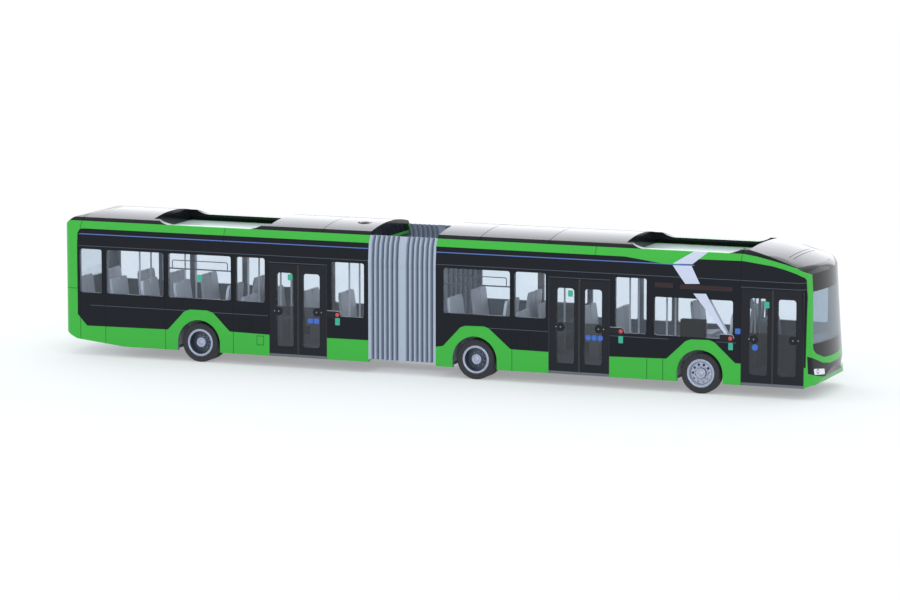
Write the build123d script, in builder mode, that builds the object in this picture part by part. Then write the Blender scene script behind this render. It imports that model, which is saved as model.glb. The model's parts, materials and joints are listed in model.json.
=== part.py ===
from build123d import *
from collections import namedtuple
from functools import lru_cache
import os

os.makedirs("parts", exist_ok=True)

# A 1:87 model of an articulated city bus, in millimetres.
# X runs to the front, Z up from the floor, and the doors are on the -Y side.

# Cross-section: an upright wall, a lean above the windows, a cantrail, then the crown of the roof covers
HALF_WIDTH = 14.65
SKIRT = 2.9
SHOULDER = 29.0
EAVE_RISE = 4.4
EAVE_IN = 0.45
RAIL_RISE = 2.0
RAIL_IN = 1.0
COVER_RISE = 0.9
COVER_IN = 0.8
CROWN = 1.3
EAVE = SHOULDER + EAVE_RISE
CANTRAIL = EAVE + RAIL_RISE
COVER_EDGE = CANTRAIL + COVER_RISE
ROOF_TOP = COVER_EDGE + CROWN
EAVE_HALF = HALF_WIDTH - EAVE_IN
RAIL_HALF = EAVE_HALF - RAIL_IN
COVER_HALF = RAIL_HALF - COVER_IN

# Walls: painted shell, clear inserts behind it, roof lining, deck and floors
WALL = 0.9
GLASS = 0.5
LINING = 0.8
DOOR_SET_BACK = 0.2
DECK = 0.7
DECK_DROP = 1.7
DECK_FORE = 11.5
DECK_AFT = 5.7
DECK_TOP = CANTRAIL - DECK_DROP
FLOOR_LIFT = 0.3
FLOOR = 0.8
FLOOR_UNDER = SKIRT + FLOOR_LIFT
FLOOR_TOP = FLOOR_UNDER + FLOOR
SALOON_FLOOR = FLOOR_TOP + 0.6
TRIM_GAP = 0.15
SALOON_HALF = HALF_WIDTH - WALL - GLASS - TRIM_GAP

# Bays of the side walls, each an opening after a pillar, counted from the joint outwards
HIGH_SILL = 16.7
LOW_SILL = 14.2
LEFT_SILL = 13.4
CAB_SILL = 15.4
HEAD = SHOULDER - 0.8
SHORT_HEAD = SHOULDER - 5.2
DOOR_HEAD = SHOULDER - 2.0
DOOR_FOOT = SKIRT + 0.7
DOOR_WIDTH = 16.2
PANE_R = 0.6
Bay = namedtuple("Bay", "pillar width sill head door", defaults=(False,))
FRONT_RIGHT = [
    Bay(2.2, 17.9, HIGH_SILL, HEAD),
    Bay(1.3, 8.3, HIGH_SILL, HEAD),
    Bay(0.8, DOOR_WIDTH, DOOR_FOOT, DOOR_HEAD, True),
    Bay(1.5, 8.2, LOW_SILL, HEAD),
    Bay(2.0, 20.5, LOW_SILL, SHORT_HEAD),
    Bay(2.1, DOOR_WIDTH, DOOR_FOOT, DOOR_HEAD, True),
]
FRONT_LEFT = [
    Bay(1.4, 15.6, HIGH_SILL, HEAD),
    Bay(1.6, 12.0, HIGH_SILL, HEAD),
    Bay(1.3, 12.4, LEFT_SILL, HEAD),
    Bay(1.4, 7.8, LEFT_SILL, HEAD),
    Bay(1.5, 23.4, LEFT_SILL, HEAD),
    Bay(2.4, 14.0, CAB_SILL, HEAD),
]
REAR_RIGHT = [
    Bay(1.2, 9.0, LOW_SILL, HEAD),
    Bay(1.3, DOOR_WIDTH, DOOR_FOOT, DOOR_HEAD, True),
    Bay(1.2, 8.1, HIGH_SILL, HEAD),
    Bay(1.5, 17.8, HIGH_SILL, HEAD),
    Bay(1.4, 16.4, HIGH_SILL, HEAD),
    Bay(1.5, 6.3, HIGH_SILL, HEAD),
]
REAR_LEFT = [
    Bay(1.2, 20.5, LEFT_SILL, HEAD),
    Bay(1.3, 9.6, LEFT_SILL, HEAD),
    Bay(1.3, 13.0, HIGH_SILL, HEAD),
    Bay(1.3, 14.0, HIGH_SILL, HEAD),
    Bay(1.3, 8.2, HIGH_SILL, HEAD),
    Bay(1.0, 11.6, HIGH_SILL, HEAD),
]

# Lengths: the bays add up to the sections, and the whole is centred on the origin
NOSE = 3.7
TAIL = 6.1
JOINT_GAP = 18.5
FRONT_LENGTH = sum(bay.pillar + bay.width for bay in FRONT_RIGHT) + NOSE
REAR_LENGTH = sum(bay.pillar + bay.width for bay in REAR_RIGHT) + TAIL
TIP = (FRONT_LENGTH + JOINT_GAP + REAR_LENGTH) / 2
FRONT_END = TIP - FRONT_LENGTH
REAR_END = FRONT_END - JOINT_GAP
PIVOT_X = (FRONT_END + REAR_END) / 2

# Nose and tail: bowed in plan with rounded corners, leaning back to a brow under the roof
NOSE_BOW = 45.0
TAIL_BOW = 60.0
CORNER = 3.0
END_DEPTH = 8.0
DOME = 23.7
FOOT_TUCK = 1.4
LEAN_FOOT = 7.0
NOSE_LEAN = 1.65
TAIL_LEAN = 1.3
BROW = SHOULDER + 2.3
ROOF_CLEAR = 0.1
PAST_JOINT = min(FRONT_END, -REAR_END) - JOINT_GAP
UPSWEEP = 18.7
SCREEN_HALF = HALF_WIDTH - 2.5
SCREEN_HEAD_HALF = SCREEN_HALF - 1.35
SCREEN_FOOT = 13.8
SCREEN_HEAD = SHOULDER - 2.4
BELT_FOOT = 8.1
BELT = 1.7
MASK_FOOT = 4.9
LAMP_INNER = 7.2
LAMP_OUTER = HALF_WIDTH - 2.3
LAMP_HEAD = 7.7
REAR_WINDOW_HALF = HALF_WIDTH - 3.6
REAR_WINDOW_FOOT = 18.6
REAR_LAMP_Y = HALF_WIDTH - 2.6
REAR_LAMP_WIDTH = 1.8
REAR_LAMP_HEIGHT = 7.6
REAR_LAMP_Z = 12.6

# Open roof bays between the covers, with swooping ends
SWOOP = 5.0
FRONT_WELL = 22.3
REAR_WELL = 23.2
REAR_WELL_AFT = 31.1
WELL_HALF = RAIL_HALF - WALL - LINING - 0.3

# Wheels: rims pressed on steel pins, single tyres in front and twins behind
FRONT_OVERHANG = 30.5
MIDDLE_SET = 10.6
REAR_OVERHANG = 40.3
AXLE_FRONT = TIP - FRONT_OVERHANG
AXLE_MIDDLE = FRONT_END + MIDDLE_SET
AXLE_REAR = -TIP + REAR_OVERHANG
TYRE_R = 5.1
TYRE_WIDTH = 3.0
TREAD_BEVEL = 0.45
TWIN_GAP = 0.4
RIM_R = 3.6
HUB_R = 1.3
HUB_CAP = 0.6
HUB_TUCK = 0.4
RIM_WALL = 0.6
SINGLE_DISH = 0.55
TWIN_DISH = 2.2
SINGLE_HUB_DROP = 0.1
TWIN_HUB_DROP = 0.5
HAND_HOLES = 10
HAND_HOLE_R = 0.36
WHEEL_FACE = HALF_WIDTH - 0.65
RIM_SET_BACK = 0.2
ARCH_R = TYRE_R + 0.9
PIN_R = 0.75
PIN_FIT = 0.05
BAY_HALF = ARCH_R + 0.5
TWIN_WIDTH = 2 * TYRE_WIDTH + TWIN_GAP
BAY_INNER = WHEEL_FACE - TWIN_WIDTH - 0.6
BOX_WALL = 0.6
BOX_TOP = 2 * TYRE_R + 1.4
BEARING_R = PIN_R + 0.85
BEARING = 2.1
BEARING_OUT = BAY_INNER - 1.4
HUMP_HALF = BEARING_R + 1.0
HUMP_TOP = TYRE_R + BEARING_R + 1.1

# Articulation: the rear tongue lies on the front one and turns on a headed pin
PIVOT_R = 1.2
PIVOT_FIT = 0.05
TONGUE_GAP = 0.1
TONGUE_HALF = 4.0
TONGUE_ROOT = 2.0
TONGUE_UNDER = FLOOR_TOP + TONGUE_GAP
TONGUE_TOP = TONGUE_UNDER + FLOOR
PIN_HEAD = 0.6
SCREW_R = 1.1
SCREW_SET = 40.2

# Bellows: pleats on both sides of a flat middle band
FOLDS = 6
BAND = 1.6
LIP = 0.5
FOLD_DEPTH = 0.9
CROWN_CLEAR = CANTRAIL + 4 * FOLD_DEPTH
CLOTH = 0.35
PITCH = (JOINT_GAP - BAND - 2 * LIP) / (2 * FOLDS)

# Door leaves
DOOR_SPLIT = 0.3
LEAF_EDGE = 2.1
LEAF_INNER = 1.2
LEAF_SILL = 2.0
LEAF_HEAD = 2.3
LEAF_R = 0.8

# Seats, two to a bench, given by bench: distance from the joint end, direction faced, cushion height, sides
SEAT_WIDTH = 4.5
SEAT_GAP = 0.2
SEAT_BACK = 7.8
SEAT_PAN = 1.2
SEAT_ROUND = 1.0
LOW_SEAT = 9.6
HIGH_SEAT = 12.4
Bench = namedtuple("Bench", "x faces base sides")
FRONT_BENCHES = [
    Bench(5.6, 1, HIGH_SEAT, (1, -1)),
    Bench(15.4, -1, HIGH_SEAT, (1, -1)),
    Bench(24.0, 1, LOW_SEAT, (1, -1)),
    Bench(36.0, 1, LOW_SEAT, (-1,)),
    Bench(45.0, 1, LOW_SEAT, (-1,)),
    Bench(65.0, 1, HIGH_SEAT, (-1,)),
    Bench(75.4, -1, HIGH_SEAT, (1, -1)),
]
REAR_BENCHES = [
    Bench(13.0, -1, LOW_SEAT, (-1,)),
    Bench(23.0, -1, LOW_SEAT, (-1,)),
    Bench(33.2, -1, LOW_SEAT, (1, -1)),
    Bench(43.0, 1, HIGH_SEAT, (1, -1)),
    Bench(52.6, -1, HIGH_SEAT, (1, -1)),
    Bench(62.0, -1, HIGH_SEAT, (1, -1)),
    Bench(71.0, -1, HIGH_SEAT, (1, -1)),
    Bench(81.0, -1, HIGH_SEAT, (1, -1)),
]
PLATFORM_TOP = 9.4
PLATFORM = 15.7

# Handrail posts, given by distance from the joint end
POST_R = 0.25
BAR_SIDES = 8
POST_Y = SALOON_HALF - 2 * (SEAT_WIDTH + SEAT_GAP) - POST_R - 0.05
RAIL_DROP = 6.0
FRONT_POSTS = [28.2, 48.2, 58.0, 79.0]
REAR_POSTS = [10.0, 29.4, 38.6, 56.8, 70.0]

# Driver's place, measured back from the tip
DRIVER_BACK = 14.6
DRIVER_Y = HALF_WIDTH - 8.2
PARTITION_BACK = 21.2
PARTITION_EDGE = DRIVER_Y - 2.6
DASH_BACK = 9.4
DASH_TOP = SCREEN_FOOT - 0.6
WHEEL_R = 2.5
WHEEL_TUBE = 0.32

FAR = 60.0
RIGHT = 1
LEFT = -1
Opening = namedtuple("Opening", "x0 x1 z0 z1 r")


def along(bays, nose):
    """The openings of one side wall, from its bays"""
    step = 1 if nose else -1
    edge = FRONT_END if nose else REAR_END
    rows = []
    for bay in bays:
        near = edge + step * bay.pillar
        edge = near + step * bay.width
        row = Opening(min(near, edge), max(near, edge), bay.sill, bay.head, 0.0 if bay.door else PANE_R)
        rows.append((row, bay.door))
    return rows


def windows(bays, nose):
    return [row for row, door in along(bays, nose) if not door]


def doors(bays, nose):
    return [row for row, door in along(bays, nose) if door]


def side_prism(row, side):
    """A prism through one side wall in the outline of an opening"""
    with BuildPart() as prism:
        with BuildSketch(Plane.XZ.offset(side * HALF_WIDTH / 2)):
            with Locations(((row.x0 + row.x1) / 2, (row.z0 + row.z1) / 2)):
                if row.r:
                    RectangleRounded(row.x1 - row.x0, row.z1 - row.z0, row.r)
                else:
                    Rectangle(row.x1 - row.x0, row.z1 - row.z0)
        extrude(amount=side * HALF_WIDTH)
    return prism.part


def end_prism(points, nose, radius=0.0, depth=END_DEPTH):
    """A prism through the nose or the tail, from one half of a mirrored outline of (y, z) corners"""
    with BuildPart() as prism:
        with BuildSketch(Plane.YZ.offset(TIP - depth if nose else -TIP + depth)) as face:
            with BuildLine():
                Polyline((0, points[0][1]), *points, (0, points[-1][1]), close=True)
            make_face()
            mirror(about=Plane.YZ)
            if radius:
                fillet(face.vertices(), radius)
        extrude(amount=FAR if nose else -FAR)
    return prism.part


def pair_prism(corners, nose, radius):
    """A mirrored pair of prisms through the nose or the tail, from the (y, z) corners of one"""
    with BuildPart() as prism:
        with BuildSketch(Plane.YZ.offset(TIP - END_DEPTH if nose else -TIP + END_DEPTH)) as face:
            with BuildLine():
                Polyline(*corners, close=True)
            make_face()
            fillet(face.vertices(), radius)
            mirror(about=Plane.YZ)
        extrude(amount=FAR if nose else -FAR)
    return prism.part


def block(x0, x1, half, z0, z1):
    """A zone across the bus, to keep or to clear"""
    with BuildPart() as zone:
        with BuildSketch(Plane.XY.offset(z0)):
            with Locations(((x0 + x1) / 2, 0)):
                Rectangle(x1 - x0, 2 * half)
        extrude(amount=z1 - z0)
    return zone.part


def drawn_in(inset):
    """Draws the sketch at hand in by inset, or out where inset is negative"""
    if inset:
        offset(amount=-inset, kind=Kind.INTERSECTION, mode=Mode.REPLACE)


def cross_section(inset):
    """The section across the bus, from below the skirts to the crown of the roof covers"""
    with BuildSketch(Plane.YZ) as section:
        with BuildLine():
            under = -2 * SKIRT
            wall = Polyline((0, under), (HALF_WIDTH, under), (HALF_WIDTH, SHOULDER), (EAVE_HALF, EAVE))
            rail = ThreePointArc(wall @ 1, (RAIL_HALF + 0.12, CANTRAIL - 0.15), (COVER_HALF, COVER_EDGE))
            crown_mid = (COVER_HALF * 0.5, COVER_EDGE + CROWN * 0.74)
            crown = ThreePointArc(rail @ 1, crown_mid, (0, ROOF_TOP))
            Line(crown @ 1, wall @ 0)
        make_face()
        mirror(about=Plane.YZ)
        drawn_in(inset)
    return section.sketch


def end_plan(nose, inset):
    """The plan of one section: straight sides running past the joint, a bowed end and rounded corners"""
    bow = NOSE_BOW if nose else TAIL_BOW
    edge = TIP - bow + (bow**2 - HALF_WIDTH**2) ** 0.5
    with BuildSketch(Plane.XY.offset(-SKIRT)) as plan:
        with BuildLine():
            end = ThreePointArc((edge, -HALF_WIDTH), (TIP, 0), (edge, HALF_WIDTH))
            Polyline(end @ 1, (PAST_JOINT, HALF_WIDTH), (PAST_JOINT, -HALF_WIDTH), end @ 0)
        make_face()
        fillet(plan.vertices().sort_by(Axis.X)[-2:], CORNER)
        drawn_in(inset)
        if not nose:
            mirror(about=Plane.YZ, mode=Mode.REPLACE)
    return plan.sketch


def end_profile(nose, inset):
    """The side view of one section: a tucked foot, and at the tail a slight lean and a round brow"""
    top = ROOF_TOP + ROOF_CLEAR
    with BuildSketch(Plane.XZ) as profile:
        with BuildLine():
            if nose:
                foot = (TIP - FOOT_TUCK, DOOR_FOOT)
                chin = (TIP - 0.3 * FOOT_TUCK, (DOOR_FOOT + LEAN_FOOT) / 2)
                upper = Polyline(foot, chin, (TIP, LEAN_FOOT), (TIP, top))
            else:
                foot = (TIP - FOOT_TUCK / 2, DOOR_FOOT)
                lower = ThreePointArc(foot, (TIP, 10.0), (TIP - 0.5, REAR_WINDOW_FOOT))
                head = TIP - TAIL_LEAN
                pane = Line(lower @ 1, (head, EAVE - 0.8))
                brow = ThreePointArc(pane @ 1, (head - 0.8, EAVE + 1.6), (head - 3.0, top - 1.2))
                upper = ThreePointArc(brow @ 1, (TIP - 9.7, top - 0.35), (TIP - 15.7, top))
            Polyline(upper @ 1, (PAST_JOINT, top), (PAST_JOINT, -SKIRT), (foot[0], -SKIRT), foot)
        make_face()
        drawn_in(inset)
        if not nose:
            mirror(about=Plane.YZ, mode=Mode.REPLACE)
    return profile.sketch


def over_dome(inset):
    """What is clear above the nose, where the roof falls in an arc to a round brow that follows the bow"""
    with BuildSketch(Plane((TIP - NOSE_BOW, 0, 0), x_dir=(1, -1, 0), z_dir=(-1, -1, 0))) as clear:
        with BuildLine():
            crest = (NOSE_BOW - DOME, ROOF_TOP - ROOF_CLEAR)
            fall = ThreePointArc(crest, (NOSE_BOW - 0.54 * DOME, BROW + 4.4), (NOSE_BOW - 3.3, BROW + 1.5))
            round_off = ThreePointArc(fall @ 1, (NOSE_BOW - 2.2, BROW + 0.7), (NOSE_BOW - 1.5, BROW - 0.7))
            reach = NOSE_BOW + NOSE
            Polyline(round_off @ 1, (reach, BROW - 0.7), (reach, FAR), (crest[0], FAR), crest)
        make_face()
        drawn_in(-inset)
    return clear.sketch


@lru_cache(maxsize=None)
def hull(nose, inset):
    """The outside of one section drawn in by inset, running on below and past the joint"""
    lean = NOSE_LEAN / (BROW - LEAN_FOOT) if nose else 0.0
    set_out = Location((lean * (LEAN_FOOT + SKIRT), 0, 0))
    with BuildPart() as body:
        extrude(cross_section(inset), amount=2 * TIP, both=True)
        extrude(end_plan(nose, inset).moved(set_out), amount=FAR, dir=(-lean, 0, 1), mode=Mode.INTERSECT)
        extrude(end_profile(nose, inset), amount=FAR, both=True, mode=Mode.INTERSECT)
        if nose:
            bow_axis = Axis((TIP - NOSE_BOW, 0, 0), (0, 0, 1))
            revolve(over_dome(inset), axis=bow_axis, revolution_arc=90, mode=Mode.SUBTRACT)
    return body.part


@lru_cache(maxsize=None)
def skin(nose, outer, inner):
    """The layer of a section between two insets, trimmed to its skirt and joint end"""
    outside = hull(nose, outer)
    inside = hull(nose, inner)
    with BuildPart() as layer:
        add(outside)
        add(inside, mode=Mode.SUBTRACT)
        with BuildSketch(Plane.XZ):
            with BuildLine():
                if nose:
                    Polyline((FRONT_END, SKIRT), (TIP - 4.1, SKIRT), (TIP - 2.1, DOOR_FOOT),
                             (TIP + NOSE, DOOR_FOOT), (TIP + NOSE, FAR), (FRONT_END, FAR), close=True)
                else:
                    Polyline((REAR_END, SKIRT), (-TIP + UPSWEEP, SKIRT), (-TIP + 5.0, SKIRT + 1.5),
                             (-TIP + 1.7, SKIRT + 3.1), (-TIP - TAIL, SKIRT + 3.1),
                             (-TIP - TAIL, FAR), (REAR_END, FAR), close=True)
            make_face()
        extrude(amount=FAR, both=True, mode=Mode.INTERSECT)
    return layer.part


@lru_cache(maxsize=None)
def above_rail(nose):
    """Everything over the cantrail line, which falls to the corner pillars at the nose"""
    with BuildPart() as zone:
        with BuildSketch(Plane.XZ):
            with BuildLine():
                if nose:
                    low = CANTRAIL - 5.5
                    fall = ThreePointArc((TIP - 17.7, CANTRAIL), (TIP - 6.4, CANTRAIL - 2.4), (TIP - 1.8, low))
                    Polyline(fall @ 1, (TIP + NOSE, low), (TIP + NOSE, FAR), (REAR_END, FAR),
                             (REAR_END, CANTRAIL), fall @ 0)
                else:
                    Polyline((FRONT_END, CANTRAIL), (-TIP - TAIL, CANTRAIL), (-TIP - TAIL, FAR),
                             (FRONT_END, FAR), close=True)
            make_face()
        extrude(amount=FAR, both=True)
    return zone.part


def common(first, second):
    """What two solids share"""
    with BuildPart() as shared:
        add(first)
        add(second, mode=Mode.INTERSECT)
    return shared.part


def union(parts):
    """Several solids as one"""
    with BuildPart() as whole:
        for piece in parts:
            add(piece)
    return whole.part


def less(first, cuts):
    """A solid with others cut from it"""
    with BuildPart() as rest:
        add(first)
        for cut in cuts:
            add(cut, mode=Mode.SUBTRACT)
    return rest.part


def arch(x):
    """The wheel opening in both skirts"""
    with BuildPart() as opening:
        with BuildSketch(Plane.XZ):
            with Locations((x, TYRE_R)):
                Circle(ARCH_R)
            with Locations((x, 0)):
                Rectangle(2 * ARCH_R, 2 * TYRE_R)
        extrude(amount=FAR, both=True)
    return opening.part


def swoop_cut(x0, x1):
    """The side view of an open roof bay: flat at rail level, rising in a curve at each end"""
    high = ROOF_TOP + 0.6
    knee = (CANTRAIL + 0.6, 0.45 * SWOOP)
    with BuildPart() as zone:
        with BuildSketch(Plane.XZ):
            with BuildLine():
                fall = ThreePointArc((x0 - SWOOP, high), (x0 - knee[1], knee[0]), (x0, CANTRAIL))
                rise = ThreePointArc((x1, CANTRAIL), (x1 + knee[1], knee[0]), (x1 + SWOOP, high))
                Line(fall @ 1, rise @ 0)
                Polyline(rise @ 1, (x1 + SWOOP, FAR), (x0 - SWOOP, FAR), fall @ 0)
            make_face()
        extrude(amount=FAR, both=True)
    return zone.part


def shell(nose, axles, end_openings):
    """One painted body section with windows, doors and arches cut, and its roof deck"""
    right, left = (FRONT_RIGHT, FRONT_LEFT) if nose else (REAR_RIGHT, REAR_LEFT)
    cuts = [side_prism(row, RIGHT) for row in windows(right, nose)]
    cuts += [side_prism(row, LEFT) for row in windows(left, nose)]
    cuts += [side_prism(row._replace(z0=0), RIGHT) for row in doors(right, nose)]
    cuts += [arch(x) for x in axles] + end_openings
    start, stop = (FRONT_END, TIP - DECK_FORE) if nose else (-TIP + DECK_AFT, REAR_END)
    deck = common(hull(nose, WALL), block(start, stop, FAR, DECK_TOP - DECK, DECK_TOP))
    walls = less(skin(nose, 0, WALL), [above_rail(nose)] + cuts)
    return union([walls, deck])


def roof(nose, x0, x1):
    """The black roof moulding: covers with swooping rails, a lining and bulkheads round an open bay"""
    start, stop = (FRONT_END, TIP - DECK_FORE) if nose else (-TIP + DECK_AFT, REAR_END)
    covers = common(skin(nose, 0, WALL), above_rail(nose))
    lining_zone = block(start, stop, FAR, DECK_TOP, CANTRAIL + 0.3)
    lining = common(skin(nose, WALL, WALL + LINING), lining_zone)
    heads = [start, x0 - SWOOP - LINING, x1 + SWOOP, stop - LINING]
    walls = union([block(x, x + LINING, FAR, DECK_TOP, FAR) for x in heads])
    bulkheads = common(hull(nose, WALL), walls)
    well = block(x0 - SWOOP, x1 + SWOOP, WELL_HALF, DECK_TOP, FAR)
    return less(union([covers, lining, bulkheads]), [swoop_cut(x0, x1), well])


def leaf_openings(door):
    """The outlines of the two leaves of a door and of the panes in them"""
    middle = (door.x0 + door.x1) / 2
    rear = door._replace(x1=middle - DOOR_SPLIT / 2)
    fore = door._replace(x0=middle + DOOR_SPLIT / 2)
    foot = door.z0 + LEAF_SILL
    head = door.z1 - LEAF_HEAD
    panes = [
        Opening(rear.x0 + LEAF_EDGE, rear.x1 - LEAF_INNER, foot, head, LEAF_R),
        Opening(fore.x0 + LEAF_INNER, fore.x1 - LEAF_EDGE, foot, head, LEAF_R),
    ]
    return [rear, fore], panes


def door_leaves(door, nose):
    """Two door leaves, set back a little in their opening, with their windows cut"""
    frames, panes = leaf_openings(door)
    zone = union([side_prism(row, RIGHT) for row in frames])
    return less(common(skin(nose, DOOR_SET_BACK, WALL), zone), [side_prism(row, RIGHT) for row in panes])


def door_panes(rows, nose):
    """The clear panes of all doors of a section"""
    panes = [pane for door in rows for pane in leaf_openings(door)[1]]
    return common(skin(nose, DOOR_SET_BACK, WALL), union([side_prism(row, RIGHT) for row in panes]))


def glazing(nose, runs, side):
    """Clear inserts behind one side wall, with panes standing into the window openings"""
    rows = [row for run in runs for row in run]
    strips = []
    for run in runs:
        low = min(row.z0 for row in run) - PANE_R
        high = max(row.z1 for row in run) + PANE_R
        ends = [row.x0 for row in run] + [row.x1 for row in run]
        strips.append(side_prism(Opening(min(ends) - PANE_R, max(ends) + PANE_R, low, high, 0.0), side))
    panes = common(skin(nose, 0, WALL), union([side_prism(row, side) for row in rows]))
    backing = common(skin(nose, WALL, WALL + GLASS), union(strips))
    return union([panes, backing])


def floor_pan(nose, x0, x1, axles, rows, screw_x):
    """The underfloor: a plate inside the skirts with wheel bays, axle bearings and door sills"""
    plate = common(hull(nose, WALL), block(x0, x1, FAR, FLOOR_UNDER, FLOOR_TOP))
    with BuildPart() as pan:
        add(plate)
        for door in rows:
            with BuildSketch(Plane.XY.offset(SKIRT)):
                with Locations(((door.x0 + door.x1) / 2, DOOR_SET_BACK + WALL - HALF_WIDTH)):
                    Rectangle(door.x1 - door.x0, 2 * WALL)
            extrude(amount=DOOR_FOOT - SKIRT)
        for x in axles:
            with BuildSketch(Plane.XY):
                with Locations((x, BAY_INNER + HALF_WIDTH / 2), (x, -BAY_INNER - HALF_WIDTH / 2)):
                    Rectangle(2 * BAY_HALF, HALF_WIDTH)
            extrude(amount=BOX_TOP, mode=Mode.SUBTRACT)
            with BuildSketch(Plane.XZ) as cheek:
                with Locations((x, (FLOOR_UNDER + TYRE_R) / 2)):
                    Rectangle(2 * BEARING_R, TYRE_R - FLOOR_UNDER)
                with Locations((x, TYRE_R)):
                    Circle(BEARING_R)
                    Circle(PIN_R + PIN_FIT, mode=Mode.SUBTRACT)
            extrude(cheek.sketch, amount=BEARING_OUT, both=True)
            with BuildSketch(Plane.XY.offset(FLOOR_TOP)):
                with Locations((x, 0)):
                    Rectangle(2 * HUMP_HALF, 2 * (BEARING_OUT - BEARING))
            extrude(amount=BOX_TOP, mode=Mode.SUBTRACT)
        with BuildSketch(Plane.XY.offset(FLOOR_UNDER)):
            with Locations((screw_x, 0)):
                Circle(SCREW_R)
        extrude(amount=FLOOR, mode=Mode.SUBTRACT)
    return pan.part


def seat_at(x, y, faces, base):
    """One seat on its pedestal, from a side view facing along or against X and a round-topped front view"""
    top = base + SEAT_BACK
    under = base - SEAT_PAN
    with BuildPart() as seat:
        with BuildSketch(Plane((x, y, 0), x_dir=(faces, 0, 0), z_dir=(0, -faces, 0))):
            with BuildLine():
                Polyline((-1.2, SALOON_FLOOR), (1.4, SALOON_FLOOR), (1.4, under), (2.5, under), (2.6, base),
                         (-1.6, base - 0.3), (-2.6, top), (-3.3, top), (-2.4, under), (-1.2, under), close=True)
            make_face()
        extrude(amount=SEAT_WIDTH / 2, both=True)
        with BuildSketch(Plane.YZ.offset(x)) as front_view:
            with Locations((y, (SALOON_FLOOR + top) / 2)):
                Rectangle(SEAT_WIDTH, top - SALOON_FLOOR)
            chamfer(front_view.vertices().sort_by(Axis.Y)[-2:], SEAT_ROUND, SEAT_ROUND / 2)
        extrude(amount=SEAT_WIDTH, both=True, mode=Mode.INTERSECT)
    return seat.part


def saloon(nose, x0, x1, axles, benches):
    """The inner moulding: floor, wheel boxes, a hump over each axle and rows of seats"""
    start, step = (FRONT_END, 1) if nose else (REAR_END, -1)
    inside = hull(nose, WALL + GLASS)
    pieces = [common(inside, block(x0, x1, SALOON_HALF, FLOOR_TOP, SALOON_FLOOR))]
    for bench in benches:
        for side in bench.sides:
            for place in range(2):
                y = SALOON_HALF - SEAT_GAP - SEAT_WIDTH / 2 - place * (SEAT_WIDTH + SEAT_GAP)
                pieces.append(seat_at(start + step * bench.x, -side * y, bench.faces * step, bench.base))
    if not nose:
        step_up = block(x0, -TIP + PLATFORM, SALOON_HALF, FLOOR_TOP, PLATFORM_TOP)
        shelf = block(-TIP, x0 + 1.0, SALOON_HALF, PLATFORM_TOP - 3.2, PLATFORM_TOP)
        pieces.append(common(inside, union([step_up, shelf])))
    with BuildPart() as moulding:
        for piece in pieces:
            add(piece)
        width = SALOON_HALF - BAY_INNER + BOX_WALL
        middle = SALOON_HALF - width / 2
        for x in axles:
            with BuildSketch(Plane.XY.offset(FLOOR_TOP)):
                with Locations((x, middle), (x, -middle)):
                    Rectangle(2 * (BAY_HALF + BOX_WALL), width)
            extrude(amount=BOX_TOP - FLOOR_TOP)
            with BuildSketch(Plane.XY.offset(FLOOR_TOP)):
                with Locations((x, 0)):
                    Rectangle(2 * (HUMP_HALF + BOX_WALL), 2 * SALOON_HALF)
            extrude(amount=HUMP_TOP - FLOOR_TOP)
        for x in axles:
            with BuildSketch(Plane.XY.offset(FLOOR_TOP)):
                with Locations((x, middle + BOX_WALL), (x, -middle - BOX_WALL)):
                    Rectangle(2 * BAY_HALF, width)
            extrude(amount=BOX_TOP - BOX_WALL - FLOOR_TOP, mode=Mode.SUBTRACT)
            with BuildSketch(Plane.XY.offset(FLOOR_TOP)):
                with Locations((x, 0)):
                    Rectangle(2 * HUMP_HALF, 2 * SALOON_HALF)
            extrude(amount=HUMP_TOP - BOX_WALL - FLOOR_TOP, mode=Mode.SUBTRACT)
    return moulding.part


def handrails(nose, posts):
    """Slim posts from floor to roof deck along both sides of the aisle, joined by a rail overhead"""
    start, step = (FRONT_END, 1) if nose else (REAR_END, -1)
    stations = [start + step * post for post in posts]
    ceiling = DECK_TOP - DECK
    with BuildPart() as rails:
        for y in (POST_Y, -POST_Y):
            with BuildSketch(Plane.XY.offset(SALOON_FLOOR)):
                for x in stations:
                    with Locations((x, y)):
                        RegularPolygon(POST_R, BAR_SIDES)
            extrude(amount=ceiling - SALOON_FLOOR)
            with BuildSketch(Plane.YZ.offset(min(stations))):
                with Locations((y, ceiling - RAIL_DROP)):
                    RegularPolygon(POST_R, BAR_SIDES)
            extrude(amount=max(stations) - min(stations))
    return rails.part


def tyres(x, twin):
    """The tyres of one axle, rings with tapered sidewalls, twins moulded as one with a groove between"""
    with BuildPart() as rings:
        with BuildSketch(Plane.XY) as ring:
            with BuildLine():
                width = TWIN_WIDTH if twin else TYRE_WIDTH
                face = WHEEL_FACE
                groove = [
                    (x + TYRE_R, face - TYRE_WIDTH + TREAD_BEVEL),
                    (x + TYRE_R - 2 * TREAD_BEVEL, face - TYRE_WIDTH - TWIN_GAP / 2),
                    (x + TYRE_R, face - TYRE_WIDTH - TWIN_GAP - TREAD_BEVEL),
                ]
                Polyline((x + RIM_R, face), (x + TYRE_R, face - TREAD_BEVEL), *(groove if twin else []),
                         (x + TYRE_R, face - width + TREAD_BEVEL), (x + RIM_R, face - width), close=True)
            make_face()
        revolve(ring.sketch, axis=Axis((x, 0, 0), (0, 1, 0)))
        mirror(about=Plane.XZ)
    return rings.part.moved(Location((0, 0, TYRE_R)))


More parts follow.
